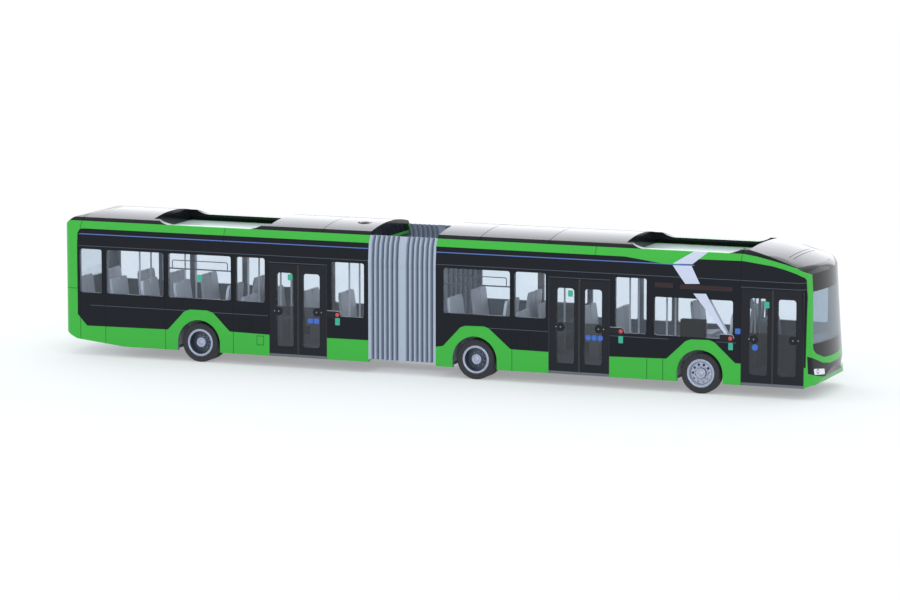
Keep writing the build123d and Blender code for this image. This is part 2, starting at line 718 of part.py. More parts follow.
def rims(x, twin):
    """A pair of rims bored for the pin: barrel, disc and hub, with hand holes in front, deeply dished behind"""
    out = WHEEL_FACE - RIM_SET_BACK
    width = (TWIN_WIDTH if twin else TYRE_WIDTH) - RIM_SET_BACK
    dish = TWIN_DISH if twin else SINGLE_DISH
    drop = TWIN_HUB_DROP if twin else SINGLE_HUB_DROP
    with BuildPart() as pair:
        with BuildSketch(Plane.XZ.offset(-out)):
            with Locations((x, TYRE_R)):
                Circle(RIM_R)
                Circle(RIM_R - RIM_WALL, mode=Mode.SUBTRACT)
        extrude(amount=width)
        with BuildSketch(Plane.XZ.offset(dish - out)):
            with Locations((x, TYRE_R)):
                Circle(RIM_R - RIM_WALL / 2)
                if not twin:
                    with PolarLocations((HUB_R + RIM_R - RIM_WALL) / 2, HAND_HOLES):
                        RegularPolygon(HAND_HOLE_R, BAR_SIDES, mode=Mode.SUBTRACT)
        extrude(amount=RIM_WALL)
        with BuildSketch(Plane.XZ.offset(drop - out)):
            with Locations((x, TYRE_R)):
                Circle(HUB_R)
        extrude(amount=width - drop - HUB_TUCK)
        with BuildSketch(Plane.XZ.offset(drop + HUB_CAP - out)):
            with Locations((x, TYRE_R)):
                Circle(PIN_R)
        extrude(amount=width, mode=Mode.SUBTRACT)
        mirror(about=Plane.XZ)
    return pair.part


def axle_pin(x, twin):
    """The steel pin that joins a pair of rims"""
    drop = TWIN_HUB_DROP if twin else SINGLE_HUB_DROP
    with BuildPart() as pin:
        with BuildSketch(Plane.XZ):
            with Locations((x, TYRE_R)):
                Circle(PIN_R)
        extrude(amount=WHEEL_FACE - RIM_SET_BACK - drop - HUB_CAP, both=True)
    return pin.part


def arch_section(x, inset):
    """The bellows' outline at one place along it, drawn in by inset and running past its ends"""
    with BuildSketch(Plane.YZ.offset(x)) as section:
        with BuildLine():
            Polyline((0, -SKIRT), (HALF_WIDTH, -SKIRT), (HALF_WIDTH, SHOULDER), (EAVE_HALF, EAVE),
                     (RAIL_HALF, CANTRAIL), (RAIL_HALF, CROWN_CLEAR), (0, CROWN_CLEAR), close=True)
        make_face()
        mirror(about=Plane.YZ)
        if inset:
            offset(amount=-inset, kind=Kind.INTERSECTION, mode=Mode.REPLACE)
    return section.sketch


def concertina(inset):
    """The pleated form between the sections, filled, drawn in by inset"""
    stations = [(REAR_END, 0.0)]
    x = REAR_END + LIP
    for run in range(2):
        stations.append((x, 0.0))
        for fold in range(FOLDS):
            stations += [(x + PITCH / 2, FOLD_DEPTH), (x + PITCH, 0.0)]
            x += PITCH
        x += BAND
    stations.append((FRONT_END, 0.0))
    with BuildPart() as tunnel:
        loft([arch_section(x, depth + inset) for x, depth in stations], ruled=True)
    return tunnel.part


def hand_in(piece, name):
    """Names a piece and writes its file"""
    piece.label = name
    export_step(piece, f"parts/{name}.step")


# Zones of the nose: windscreen, display above it, scuttle below it, mask with the headlamps
BELT_HEAD = BELT_FOOT + BELT
screen_zone = end_prism([(SCREEN_HEAD_HALF, SCREEN_HEAD), (SCREEN_HALF, SCREEN_FOOT)], True)
display_zone = end_prism([(SCREEN_HEAD_HALF, FAR), (SCREEN_HEAD_HALF, SCREEN_HEAD)], True)
scuttle_zone = end_prism([(SCREEN_HALF, SCREEN_FOOT), (SCREEN_HALF, BELT_HEAD + 2.7),
                          (SCREEN_HALF - 1.1, BELT_HEAD + 1.5), (LAMP_INNER, BELT_HEAD + 0.2),
                          (LAMP_INNER / 2, BELT_HEAD)], True)
mask_zone = end_prism([(LAMP_INNER / 2, BELT_FOOT), (LAMP_INNER + 0.8, BELT_FOOT + 0.6),
                       (WHEEL_FACE, BELT_FOOT + 2.8), (WHEEL_FACE, MASK_FOOT + 1.7),
                       (SCREEN_HALF - 0.8, MASK_FOOT + 0.9), (LAMP_INNER - 1.2, MASK_FOOT)], True, depth=NOSE - 0.2)
lamp_zone = pair_prism([(LAMP_OUTER, LAMP_HEAD), (LAMP_INNER, LAMP_HEAD - 0.6), (LAMP_INNER - 0.1, LAMP_HEAD - 2.0),
                        (LAMP_OUTER - 0.2, LAMP_HEAD - 1.5)], True, 0.3)

# Front section: painted shell and what fills its openings
front_doors = doors(FRONT_RIGHT, True)
nose_zones = [screen_zone, display_zone, scuttle_zone, mask_zone]
hand_in(shell(True, [AXLE_FRONT, AXLE_MIDDLE], nose_zones), "front_shell")
hand_in(common(skin(True, 0, WALL), screen_zone), "windscreen")
hand_in(common(skin(True, 0, WALL), scuttle_zone), "front_scuttle")
hand_in(less(common(skin(True, 0, WALL), mask_zone), [lamp_zone]), "front_mask")
hand_in(common(skin(True, 0, WALL), lamp_zone), "headlamps")
display = less(common(skin(True, 0, WALL), display_zone), [above_rail(True)])
hand_in(union([roof(True, TIP - DOME - FRONT_WELL, TIP - DOME), display]), "front_roof_fairing")
panes = windows(FRONT_RIGHT, True)
hand_in(glazing(True, [panes[:2], panes[2:]], RIGHT), "front_glazing_right")
hand_in(glazing(True, [windows(FRONT_LEFT, True)], LEFT), "front_glazing_left")
for door, name in zip(front_doors, ["middle_door", "front_door"]):
    hand_in(door_leaves(door, True), name)
hand_in(door_panes(front_doors, True), "front_door_panes")

# Rear section
rear_doors = doors(REAR_RIGHT, False)
rear_window_zone = end_prism([(REAR_WINDOW_HALF, HEAD), (REAR_WINDOW_HALF, REAR_WINDOW_FOOT)], False, 1.0)
low, high = REAR_LAMP_Z - REAR_LAMP_HEIGHT / 2, REAR_LAMP_Z + REAR_LAMP_HEIGHT / 2
near, wide = REAR_LAMP_Y - REAR_LAMP_WIDTH / 2, REAR_LAMP_Y + REAR_LAMP_WIDTH / 2
rear_lamp_zone = pair_prism([(near, low), (wide, low), (wide, high), (near, high)], False, 0.5)
hand_in(shell(False, [AXLE_REAR], [rear_window_zone, rear_lamp_zone]), "rear_shell")
hand_in(common(skin(False, 0, WALL), rear_window_zone), "rear_window")
hand_in(common(skin(False, 0, WALL), rear_lamp_zone), "tail_lamps")
hand_in(roof(False, -TIP + REAR_WELL_AFT, -TIP + REAR_WELL_AFT + REAR_WELL), "rear_roof_fairing")
panes = windows(REAR_RIGHT, False)
hand_in(glazing(False, [panes[:1], panes[1:]], RIGHT), "rear_glazing_right")
hand_in(glazing(False, [windows(REAR_LEFT, False)], LEFT), "rear_glazing_left")
hand_in(door_leaves(rear_doors[0], False), "rear_door")
hand_in(door_panes(rear_doors, False), "rear_door_panes")

# Underfloors with the tongues of the articulation
front_pan = floor_pan(True, FRONT_END, TIP - 4.7, [AXLE_FRONT, AXLE_MIDDLE], front_doors, FRONT_END + SCREW_SET)
with BuildPart() as front_chassis:
    add(front_pan)
    with BuildSketch(Plane.XY.offset(FLOOR_UNDER)):
        with Locations(((PIVOT_X + FRONT_END + TONGUE_ROOT) / 2, 0)):
            Rectangle(FRONT_END + TONGUE_ROOT - PIVOT_X, 2 * TONGUE_HALF)
        with Locations((PIVOT_X, 0)):
            Circle(TONGUE_HALF)
            Circle(PIVOT_R, mode=Mode.SUBTRACT)
    extrude(amount=FLOOR)
hand_in(front_chassis.part, "front_chassis")

rear_pan = floor_pan(False, -TIP + UPSWEEP - 2.0, REAR_END, [AXLE_REAR], rear_doors, REAR_END - SCREW_SET)
with BuildPart() as rear_chassis:
    add(rear_pan)
    with BuildSketch(Plane.XY.offset(FLOOR_UNDER)):
        with Locations((REAR_END - TONGUE_ROOT / 2, 0)):
            Rectangle(TONGUE_ROOT, 2 * TONGUE_HALF)
    extrude(amount=TONGUE_TOP - FLOOR_UNDER)
    with BuildSketch(Plane.XY.offset(TONGUE_UNDER)):
        with Locations(((PIVOT_X + REAR_END - TONGUE_ROOT) / 2, 0)):
            Rectangle(PIVOT_X - REAR_END + TONGUE_ROOT, 2 * TONGUE_HALF)
        with Locations((PIVOT_X, 0)):
            Circle(TONGUE_HALF)
            Circle(PIVOT_R + PIVOT_FIT, mode=Mode.SUBTRACT)
    extrude(amount=FLOOR)
hand_in(rear_chassis.part, "rear_chassis")

with BuildPart() as pivot_pin:
    with BuildSketch(Plane.XY.offset(FLOOR_UNDER)):
        with Locations((PIVOT_X, 0)):
            Circle(PIVOT_R)
    extrude(amount=TONGUE_TOP + TONGUE_GAP - FLOOR_UNDER)
    with BuildSketch(Plane.XY.offset(TONGUE_TOP + TONGUE_GAP)):
        with Locations((PIVOT_X, 0)):
            Circle(1.8 * PIVOT_R)
    extrude(amount=PIN_HEAD)
    chamfer(pivot_pin.edges().sort_by(Axis.Z)[-1], PIN_HEAD / 3)
hand_in(pivot_pin.part, "pivot_pin")

# Saloon furniture
hand_in(saloon(True, FRONT_END, TIP - DASH_BACK - 0.1, [AXLE_FRONT, AXLE_MIDDLE], FRONT_BENCHES), "front_seats")
hand_in(saloon(False, -TIP + 8.7, REAR_END - TONGUE_ROOT - TONGUE_GAP, [AXLE_REAR], REAR_BENCHES), "rear_seats")
hand_in(handrails(True, FRONT_POSTS), "front_handrails")
hand_in(handrails(False, REAR_POSTS), "rear_handrails")

# Driver's place
WHEEL_PLANE = Plane((TIP - DASH_BACK - 0.9, DRIVER_Y, DASH_TOP + 0.9), x_dir=(0, 1, 0), z_dir=(-1, 0, 1.6))
with BuildPart() as steering_wheel:
    with BuildSketch(Plane(WHEEL_PLANE.origin, x_dir=WHEEL_PLANE.x_dir, z_dir=WHEEL_PLANE.y_dir)) as tube:
        with Locations((WHEEL_R, 0)):
            RegularPolygon(WHEEL_TUBE, BAR_SIDES, rotation=180 / BAR_SIDES)
    revolve(tube.sketch, axis=Axis(WHEEL_PLANE.origin, WHEEL_PLANE.z_dir))
    with BuildSketch(WHEEL_PLANE):
        Circle(0.7)
        Rectangle(2 * WHEEL_R, 0.5)
    extrude(amount=WHEEL_TUBE / 2, both=True)
    with BuildSketch(WHEEL_PLANE):
        Circle(0.4)
    extrude(amount=-3.4)
hand_in(steering_wheel.part, "steering_wheel")

with BuildPart() as dash_block:
    with BuildSketch(Plane.XZ):
        with BuildLine():
            rear = TIP - DASH_BACK
            hood = ThreePointArc((rear, DASH_TOP - 2.2), (rear + 1.0, DASH_TOP - 0.5), (rear + 3.0, DASH_TOP))
            Polyline(hood @ 1, (TIP, DASH_TOP - 0.4), (TIP, FLOOR_TOP), (rear + 1.2, FLOOR_TOP), hood @ 0)
        make_face()
    extrude(amount=FAR, both=True)
hand_in(less(common(hull(True, WALL + GLASS), dash_block.part), [steering_wheel.part]), "dashboard")

with BuildPart() as cab_partition:
    with BuildSketch(Plane.YZ.offset(TIP - PARTITION_BACK)) as screen:
        with BuildLine():
            Polyline((PARTITION_EDGE, SALOON_FLOOR), (SALOON_HALF, SALOON_FLOOR), (SALOON_HALF, HEAD),
                     (PARTITION_EDGE, HEAD), close=True)
        make_face()
        fillet(screen.vertices().sort_by(Axis.Y)[-2:].sort_by(Axis.X)[0], 2.0)
        with Locations(((PARTITION_EDGE + SALOON_HALF) / 2, (CAB_SILL + HEAD) / 2)):
            RectangleRounded(SALOON_HALF - DRIVER_Y + 2.0, HEAD - CAB_SILL - 2.4, 1.0, mode=Mode.SUBTRACT)
    extrude(amount=BOX_WALL)
hand_in(cab_partition.part, "cab_partition")

hand_in(seat_at(TIP - DRIVER_BACK, DRIVER_Y, 1, LOW_SEAT), "driver_seat")

# Wheels
for name, x, twin in [("front", AXLE_FRONT, False), ("middle", AXLE_MIDDLE, True), ("rear", AXLE_REAR, True)]:
    hand_in(tyres(x, twin), f"{name}_tyres")
    hand_in(rims(x, twin), f"{name}_rims")
    hand_in(axle_pin(x, twin), f"{name}_axle_pin")

# Bellows: two pleated walls between the sections, open at the top and to the road
road = block(REAR_END, FRONT_END, FAR, -FAR, DOOR_FOOT)
sky = block(REAR_END, FRONT_END, FAR, CANTRAIL, FAR)
hand_in(less(concertina(0.0), [concertina(CLOTH), road, sky]), "bellows")
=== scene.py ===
import json
import math
from functools import reduce

import bmesh
import bpy
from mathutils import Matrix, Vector


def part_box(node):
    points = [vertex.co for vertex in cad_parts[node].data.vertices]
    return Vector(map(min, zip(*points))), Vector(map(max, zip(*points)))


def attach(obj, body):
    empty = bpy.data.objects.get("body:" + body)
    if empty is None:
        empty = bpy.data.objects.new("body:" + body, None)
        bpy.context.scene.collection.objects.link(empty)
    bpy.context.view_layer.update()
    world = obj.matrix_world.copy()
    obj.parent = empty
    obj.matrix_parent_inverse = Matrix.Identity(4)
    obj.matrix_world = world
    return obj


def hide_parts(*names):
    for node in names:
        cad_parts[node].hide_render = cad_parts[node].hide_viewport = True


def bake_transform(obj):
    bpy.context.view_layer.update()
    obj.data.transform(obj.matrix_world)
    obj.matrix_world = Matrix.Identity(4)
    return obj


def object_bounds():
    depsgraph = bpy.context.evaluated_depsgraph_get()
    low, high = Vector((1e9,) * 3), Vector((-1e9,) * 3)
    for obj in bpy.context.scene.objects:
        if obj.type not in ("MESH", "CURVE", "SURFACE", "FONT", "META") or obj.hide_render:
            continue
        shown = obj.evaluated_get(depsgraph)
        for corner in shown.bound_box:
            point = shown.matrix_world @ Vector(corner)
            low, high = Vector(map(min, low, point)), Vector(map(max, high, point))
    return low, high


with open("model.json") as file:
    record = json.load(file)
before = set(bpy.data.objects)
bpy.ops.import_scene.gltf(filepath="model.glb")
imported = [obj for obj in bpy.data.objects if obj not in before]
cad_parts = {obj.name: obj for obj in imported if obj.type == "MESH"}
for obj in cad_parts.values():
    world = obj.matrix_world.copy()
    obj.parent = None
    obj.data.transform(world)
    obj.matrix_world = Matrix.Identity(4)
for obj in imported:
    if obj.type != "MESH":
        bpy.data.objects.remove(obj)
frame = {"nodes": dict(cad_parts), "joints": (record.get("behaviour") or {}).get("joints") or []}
CAD_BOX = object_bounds()
NODES = frame["nodes"]

# Sizes in millimetres, x to the front, y to the left and z up from the floor, read from the frame where it has them
MM = 0.001
HALF_WIDTH = CAD_BOX[1].y / MM
DOOR_FACE = HALF_WIDTH - 0.2
SHOULDER = 29.0
EAVE = 33.4
CANTRAIL = 35.4
REAR_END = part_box("bellows")[0].x / MM
FRONT_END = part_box("bellows")[1].x / MM
BELLOWS_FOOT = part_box("bellows")[0].z / MM
AXLES = {j["child"]: (j["pos_m"][0] / MM, j["pos_m"][2] / MM) for j in frame["joints"] if j.get("continuous")}
WHEEL_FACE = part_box("front_tyres")[1].y / MM
TYRE_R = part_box("front_tyres")[1].z / MM / 2
TYRE_WIDTH = 3.0
TWIN_PITCH = 3.4
RIM_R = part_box("front_rims")[1].z / MM - TYRE_R


# Colours

def linear(hex_colour):
    """An sRGB hex colour as linear RGBA."""
    values = [int(hex_colour[i:i + 2], 16) / 255 for i in (1, 3, 5)]
    return [v / 12.92 if v <= 0.04045 else ((v + 0.055) / 1.055) ** 2.4 for v in values] + [1.0]


GREEN = linear("#3EAB40")
BAND = linear("#12161D")
BLUE = linear("#5472B4")
STRIPE = linear("#BFC6DA")
DISPLAY = linear("#33262A")
EDGE_LIGHT = linear("#4B535E")
JOINT_DARK = linear("#04060A")
SEAM_DARK = linear("#07090C")
# Painted shade for the inward faces of the shell
INSIDE_SHADE = linear("#66707C")
ROOF = linear("#14171C")
# Painted reflection: the pale tone given to the green deck in the roof bays
DECK_REFLECTION = linear("#B9CDC9")
DUST = linear("#A9B8C4")
CLEAR = linear("#F5F8FB")
RIM = linear("#A6AEC2")
# Painted shade for the recesses of the rims
RIM_SHADE = linear("#4D5563")


# Nodes and masks

def node(tree, kind, inputs=None, **settings):
    """Adds a node with its settings, and gives each named input a value or a link."""
    made = tree.nodes.new(kind)
    for name, value in settings.items():
        setattr(made, name, value)
    for name, value in (inputs or {}).items():
        if isinstance(value, bpy.types.NodeSocket):
            tree.links.new(value, made.inputs[name])
        else:
            made.inputs[name].default_value = value
    return made


def calc(tree, operation, *values):
    """The result of a sum with numbers or sockets."""
    return node(tree, "ShaderNodeMath", dict(enumerate(values)), operation=operation).outputs[0]


def vector_calc(tree, operation, *values):
    """The node of a sum with vectors, which has a vector and a number as results."""
    return node(tree, "ShaderNodeVectorMath", dict(enumerate(values)), operation=operation)


def ramp(tree, value, start, end, low=0.0, high=1.0, **settings):
    """How far a value is on its way from start to end, as a number from low to high."""
    inputs = {0: value, 1: start, 2: end, 3: low, 4: high}
    return node(tree, "ShaderNodeMapRange", inputs, **settings).outputs[0]


def mix_shaders(tree, share, below, above):
    """One shader over another, by its share."""
    return node(tree, "ShaderNodeMixShader", {0: share, 1: below, 2: above}).outputs[0]


def start_material(name):
    """An empty node material, with the place on the piece in millimetres."""
    material = bpy.data.materials.new(name)
    material.use_nodes = True
    tree = material.node_tree
    tree.nodes.clear()
    where = node(tree, "ShaderNodeTexCoord").outputs["Object"]
    place = node(tree, "ShaderNodeVectorMath", {0: where, "Scale": 1 / MM}, operation="SCALE").outputs[0]
    return material, tree, place


def axes_of(tree, place):
    """The x, y and z of a place."""
    return node(tree, "ShaderNodeSeparateXYZ", {0: place}).outputs


def set_surface(tree, shader):
    """Makes a shader the surface of its material."""
    output = node(tree, "ShaderNodeOutputMaterial")
    tree.links.new(shader, output.inputs[0])


def finished(material, tree, inputs):
    """The material with a surface from the inputs of a principled shader."""
    set_surface(tree, node(tree, "ShaderNodeBsdfPrincipled", inputs).outputs[0])
    return material


def relief(tree, height, strength, depth, **below):
    """The normal of a surface that a height raises, depth in millimetres."""
    inputs = {"Height": height, "Strength": strength, "Distance": depth * MM, **below}
    return node(tree, "ShaderNodeBump", inputs).outputs[0]


def grain(tree, place, size, depth):
    """Fine unevenness of a moulded or printed surface, size and depth in millimetres."""
    noise = node(tree, "ShaderNodeTexNoise", {"Vector": place, "Scale": 1 / size, "Detail": 3.0}).outputs[0]
    return noise, relief(tree, noise, strength=0.35, depth=depth)


def paint_over(tree, below, mask, colour):
    """Prints a colour over what is below, where the mask is 1."""
    return node(tree, "ShaderNodeMix", {0: mask, 6: below, 7: colour}, data_type="RGBA").outputs[2]


def mottled(tree, noise, colour, swing):
    """A colour that varies by a small share with the grain."""
    dark = [c * (1 - swing) for c in colour[:3]] + [1]
    light = [min(1, c * (1 + swing)) for c in colour[:3]] + [1]
    return paint_over(tree, dark, noise, light)


def every(tree, masks):
    """1 where all masks are 1."""
    return reduce(lambda one, other: calc(tree, "MULTIPLY", one, other), masks)


def anyone(tree, masks):
    """1 where at least one mask is 1."""
    return reduce(lambda one, other: calc(tree, "MAXIMUM", one, other), masks)


def opposite(tree, mask):
    """1 where the mask is 0."""
    return calc(tree, "SUBTRACT", 1.0, mask)


def between(tree, value, low, high):
    """1 where a coordinate lies between two places."""
    middle, half = (low + high) / 2, (high - low) / 2
    return calc(tree, "COMPARE", value, middle, half)


def panel(tree, axes, x0, x1, z0, z1):
    """1 inside an upright rectangle on the side wall."""
    return every(tree, [between(tree, axes[0], x0, x1), between(tree, axes[2], z0, z1)])


def polygon(tree, axes, corners):
    """1 inside a convex outline on the side wall, its corners going clockwise seen from the right."""
    sides = []
    for (x0, z0), (x1, z1) in zip(corners, corners[1:] + corners[:1]):
        run = calc(tree, "MULTIPLY_ADD", axes[0], z0 - z1, x0 * (z1 - z0))
        rise = calc(tree, "MULTIPLY_ADD", axes[2], x1 - x0, run)
        sides.append(calc(tree, "LESS_THAN", rise, z0 * (x1 - x0)))
    return every(tree, sides)


def under_line(tree, axes, points):
    """1 below a line of (x, z) points along the side wall."""
    left, right, top = points[0][0], points[-1][0], 40.0
    curve = node(tree, "ShaderNodeFloatCurve", {1: ramp(tree, axes[0], left, right)})
    line = curve.mapping.curves[0]
    spots = [((x - left) / (right - left), z / top) for x, z in points]
    line.points[0].location = spots[0]
    line.points[1].location = spots[-1]
    for spot in spots[1:-1]:
        line.points.new(*spot)
    for point in line.points:
        point.handle_type = "VECTOR"
    curve.mapping.update()
    return calc(tree, "LESS_THAN", axes[2], calc(tree, "MULTIPLY", curve.outputs[0], top))


def distance(tree, across, up, centre):
    """How far a place lies from a centre, both given by two coordinates."""
    flat = node(tree, "ShaderNodeCombineXYZ", {0: across, 1: up}).outputs[0]
    return vector_calc(tree, "DISTANCE", flat, (*centre, 0)).outputs["Value"]


def grooves(tree, lines):
    """Narrow joints between panels: 1 on any of the line masks, and the surface that they dent."""
    mask = anyone(tree, lines)
    return mask, opposite(tree, mask)


# What is printed on the side walls. The flank starts at a y, and the bays of the roof show the deck between two
# heights, painted pale as a painted reflection of the bright room on its green
FLANK = HALF_WIDTH - 1.5
DECK_HALF_WIDTH = 11.3
DECK_REACH = (EAVE, EAVE + 0.9)
PINSTRIPE_REACH = (31.97, 32.2)
# Half the width of a scribed line, how deep it lies and how much of its shade shows
LINE = 0.07
LINE_DEPTH = 0.1
LINE_SHADE = 0.8
# The light stripe that folds down the front section, as corners (x, z)
STRIPE_FOLDS = [
    [(65.9, 32.25), (71.4, 35.6), (75.0, 35.6), (71.0, 32.35)],
    [(69.3, 27.4), (65.9, 31.85), (70.8, 31.95), (73.1, 27.6)],
    [(79.6, 15.5), (71.4, 25.1), (74.7, 25.2), (80.3, 15.5)],
]
# The lower and upper edge of the dark band, as points (x, z)
FRONT_SKIRT = [(2.8, 7.9), (4.8, 8.2), (9.5, 13.2), (10.8, 13.7), (16.0, 13.8), (17.2, 13.4), (23.1, 8.4), (33.3, 8.3),
               (49.7, 8.1), (64.5, 8.4), (69.5, 13.1), (70.8, 13.6), (75.6, 13.7), (77.0, 13.2), (82.4, 8.3),
               (103.7, 8.1)]
FRONT_BROW = [(2.8, 33.5), (53.3, 33.4), (63.3, 32.15), (67.6, 32.15), (68.4, 33.6), (84.1, 33.75), (91.6, 32.85),
              (95.1, 32.05), (98.25, 31.1), (99.8, 30.25), (100.4, 29.1), (103.7, 28.9)]
REAR_SKIRT = [(-103.7, 12.2), (-98.4, 10.8), (-95.7, 7.9), (-72.3, 8.15), (-67.6, 13.1), (-66.0, 13.75),
              (-61.0, 13.75), (-59.3, 13.2), (-54.6, 8.6), (-43.8, 8.4), (-15.7, 8.5)]
REAR_BROW = [(-103.7, 32.0), (-98.4, 32.2), (-97.9, 33.2), (-97.0, 33.5), (-15.7, 33.5)]
# Where the green rail ends under the black dome
FRONT_RAIL = [(79.0, 36.5), (83.9, 35.4), (87.4, 34.95), (91.3, 34.2), (94.9, 33.4), (98.0, 32.6), (100.75, 31.5),
              (103.7, 29.5)]
# Upright panel joints as x and z reach, joints across the tail as x reach and z, and flaps as x and z reach
FRONT_JOINTS = [(59.4, 2.9, 8.2), (63.6, 2.9, 8.2), (23.5, 2.9, 28.6), (83.6, 27.2, 35.4), (45.5, 33.4, 35.4)]
REAR_JOINTS = [(-90.3, 2.9, 28.6), (-73.0, 2.9, 28.6), (-53.6, 2.9, 28.6), (-97.6, 2.9, 35.4), (-56.3, 31.0, 35.4)]
TAIL_JOINTS = [(-104.0, -97.6, 17.7)]
FRONT_FLAPS = [(24.6, 28.0, 8.9, 12.4)]
REAR_FLAPS = [(-51.8, -48.5, 9.4, 12.1), (-46.9, -45.0, 5.6, 7.9)]
# Edges in the band that catch the light, their highlights painted in as light lines, as x reach and z, and dark
# displays as x and z reach
FRONT_CREASES = [(17.0, 33.4, 13.45), (49.7, 65.0, 13.35), (77.5, 82.6, 13.35), (2.8, 100.4, 29.0), (33.3, 49.6, 27.35),
                 (83.6, 100.2, 27.35)]
REAR_CREASES = [(-94.7, -66.5, 13.4), (-60.0, -43.7, 13.3), (-98.0, -15.7, 29.0), (-43.5, -27.1, 27.3)]
DISPLAYS = [(67.9, 81.5, 26.1, 27.2), (61.3, 66.1, 26.2, 27.4)]


def flap_lines(tree, axes, flaps):
    """The outlines of small service flaps."""
    lines = []
    for x0, x1, z0, z1 in flaps:
        outer = panel(tree, axes, x0 - LINE, x1 + LINE, z0 - LINE, z1 + LINE)
        inner = panel(tree, axes, x0 + LINE, x1 - LINE, z0 + LINE, z1 - LINE)
        lines.append(calc(tree, "SUBTRACT", outer, inner))
    return lines


# Materials

ABS_IOR = 1.53
POLISHED_ABS_IOR = 1.54
POLYSTYRENE_IOR = 1.59
VINYL_IOR = 1.5
# The level of gloss at which print and black ABS stay dark in a white room
LOW_GLOSS = 0.15


def printed_abs(name, *, centre, skirt, brow, ends, pinstripe, bay, joints, flaps, creases, rails=(), ledges=(),
                displays=(), stripes=()):
    """Moulded green ABS with a printed anthracite band: an even low gloss, crisp print edges and fine panel joints."""
    material, tree, place = start_material(name)
    axes = axes_of(tree, place)
    noise, bump = grain(tree, place, size=0.8, depth=0.01)
    side = calc(tree, "ABSOLUTE", axes[1])
    flank = calc(tree, "GREATER_THAN", side, FLANK)
    band = every(tree, [opposite(tree, under_line(tree, axes, skirt)), under_line(tree, axes, brow),
                        between(tree, axes[0], *ends), flank])
    prints = [(band, mottled(tree, noise, BAND, swing=0.06))]
    for line in rails:
        reach = between(tree, axes[0], line[0][0], line[-1][0])
        prints.append((every(tree, [opposite(tree, under_line(tree, axes, line)), reach]), ROOF))
    prints.append((every(tree, [panel(tree, axes, *pinstripe, *PINSTRIPE_REACH), band]), BLUE))
    # Painted reflection: the deck in the roof bays is painted pale, as if it mirrored the bright room
    deck = calc(tree, "LESS_THAN", side, DECK_HALF_WIDTH)
    prints.append((every(tree, [panel(tree, axes, *bay, *DECK_REACH), deck]), DECK_REFLECTION))
    # Painted highlights: light lines along the creases of the band
    for x0, x1, z in creases:
        prints.append((every(tree, [panel(tree, axes, x0, x1, z - LINE, z + LINE), band]), EDGE_LIGHT))
    for display in displays:
        prints.append((every(tree, [panel(tree, axes, *display), flank]), DISPLAY))
    for corners in stripes:
        prints.append((every(tree, [polygon(tree, axes, corners), flank]), STRIPE))
    lines = [every(tree, [panel(tree, axes, x - LINE, x + LINE, z0, z1), flank]) for x, z0, z1 in joints]
    lines += [panel(tree, axes, x0, x1, z - LINE, z + LINE) for x0, x1, z in ledges]
    lines += flap_lines(tree, axes, flaps)
    mask, dent = grooves(tree, lines)
    prints.append((calc(tree, "MULTIPLY", mask, LINE_SHADE), JOINT_DARK))
    # Painted shade: the walls that face the middle of the saloon get a dim grey-blue, the look of the shaded inside, in
    # place of the green
    normal = node(tree, "ShaderNodeTexCoord").outputs["Normal"]
    from_centre = vector_calc(tree, "SUBTRACT", place, centre).outputs[0]
    facing = vector_calc(tree, "DOT_PRODUCT", from_centre, normal).outputs["Value"]
    prints.append((calc(tree, "LESS_THAN", facing, 0.0), INSIDE_SHADE))
    colour = mottled(tree, noise, GREEN, swing=0.03)
    for cover, ink in prints:
        colour = paint_over(tree, colour, cover, ink)
    return finished(material, tree, {
        "Base Color": colour, "Normal": relief(tree, dent, strength=0.6, depth=LINE_DEPTH, Normal=bump),
        "Roughness": 0.28, "IOR": ABS_IOR, "Specular IOR Level": LOW_GLOSS})


def gloss_abs(name, colour, roughness, seams=()):
    """Moulded ABS from a polished tool: dark and deep, with a low clear gloss and fine joints where covers meet."""
    material, tree, place = start_material(name)
    noise, normal = grain(tree, place, size=1.2, depth=0.006)
    shade = mottled(tree, noise, colour, swing=0.08)
    shine = LOW_GLOSS
    if seams:
        axes = axes_of(tree, place)
        mask, dent = grooves(tree, [every(tree, [between(tree, axes[0], x - LINE, x + LINE),
                                                 between(tree, axes[1], -reach, reach)]) for x, reach in seams])
        shade = paint_over(tree, shade, mask, SEAM_DARK)
        normal = relief(tree, dent, strength=0.8, depth=LINE_DEPTH, Normal=normal)
        shine = calc(tree, "MULTIPLY", dent, LOW_GLOSS)
    return finished(material, tree, {
        "Base Color": shade, "Normal": normal, "Roughness": roughness, "IOR": POLISHED_ABS_IOR,
        "Specular IOR Level": shine, "Coat Weight": shine, "Coat Roughness": 0.08})


def satin_abs(name, colour, roughness, size=0.5):
    """Moulded ABS with the fine matt grain of an eroded tool: soft highlights, slightly uneven tone."""
    material, tree, place = start_material(name)
    noise, bump = grain(tree, place, size, depth=0.02)
    shade = mottled(tree, noise, colour, swing=0.12)
    return finished(material, tree, {"Base Color": shade, "Normal": bump, "Roughness": roughness, "IOR": ABS_IOR})


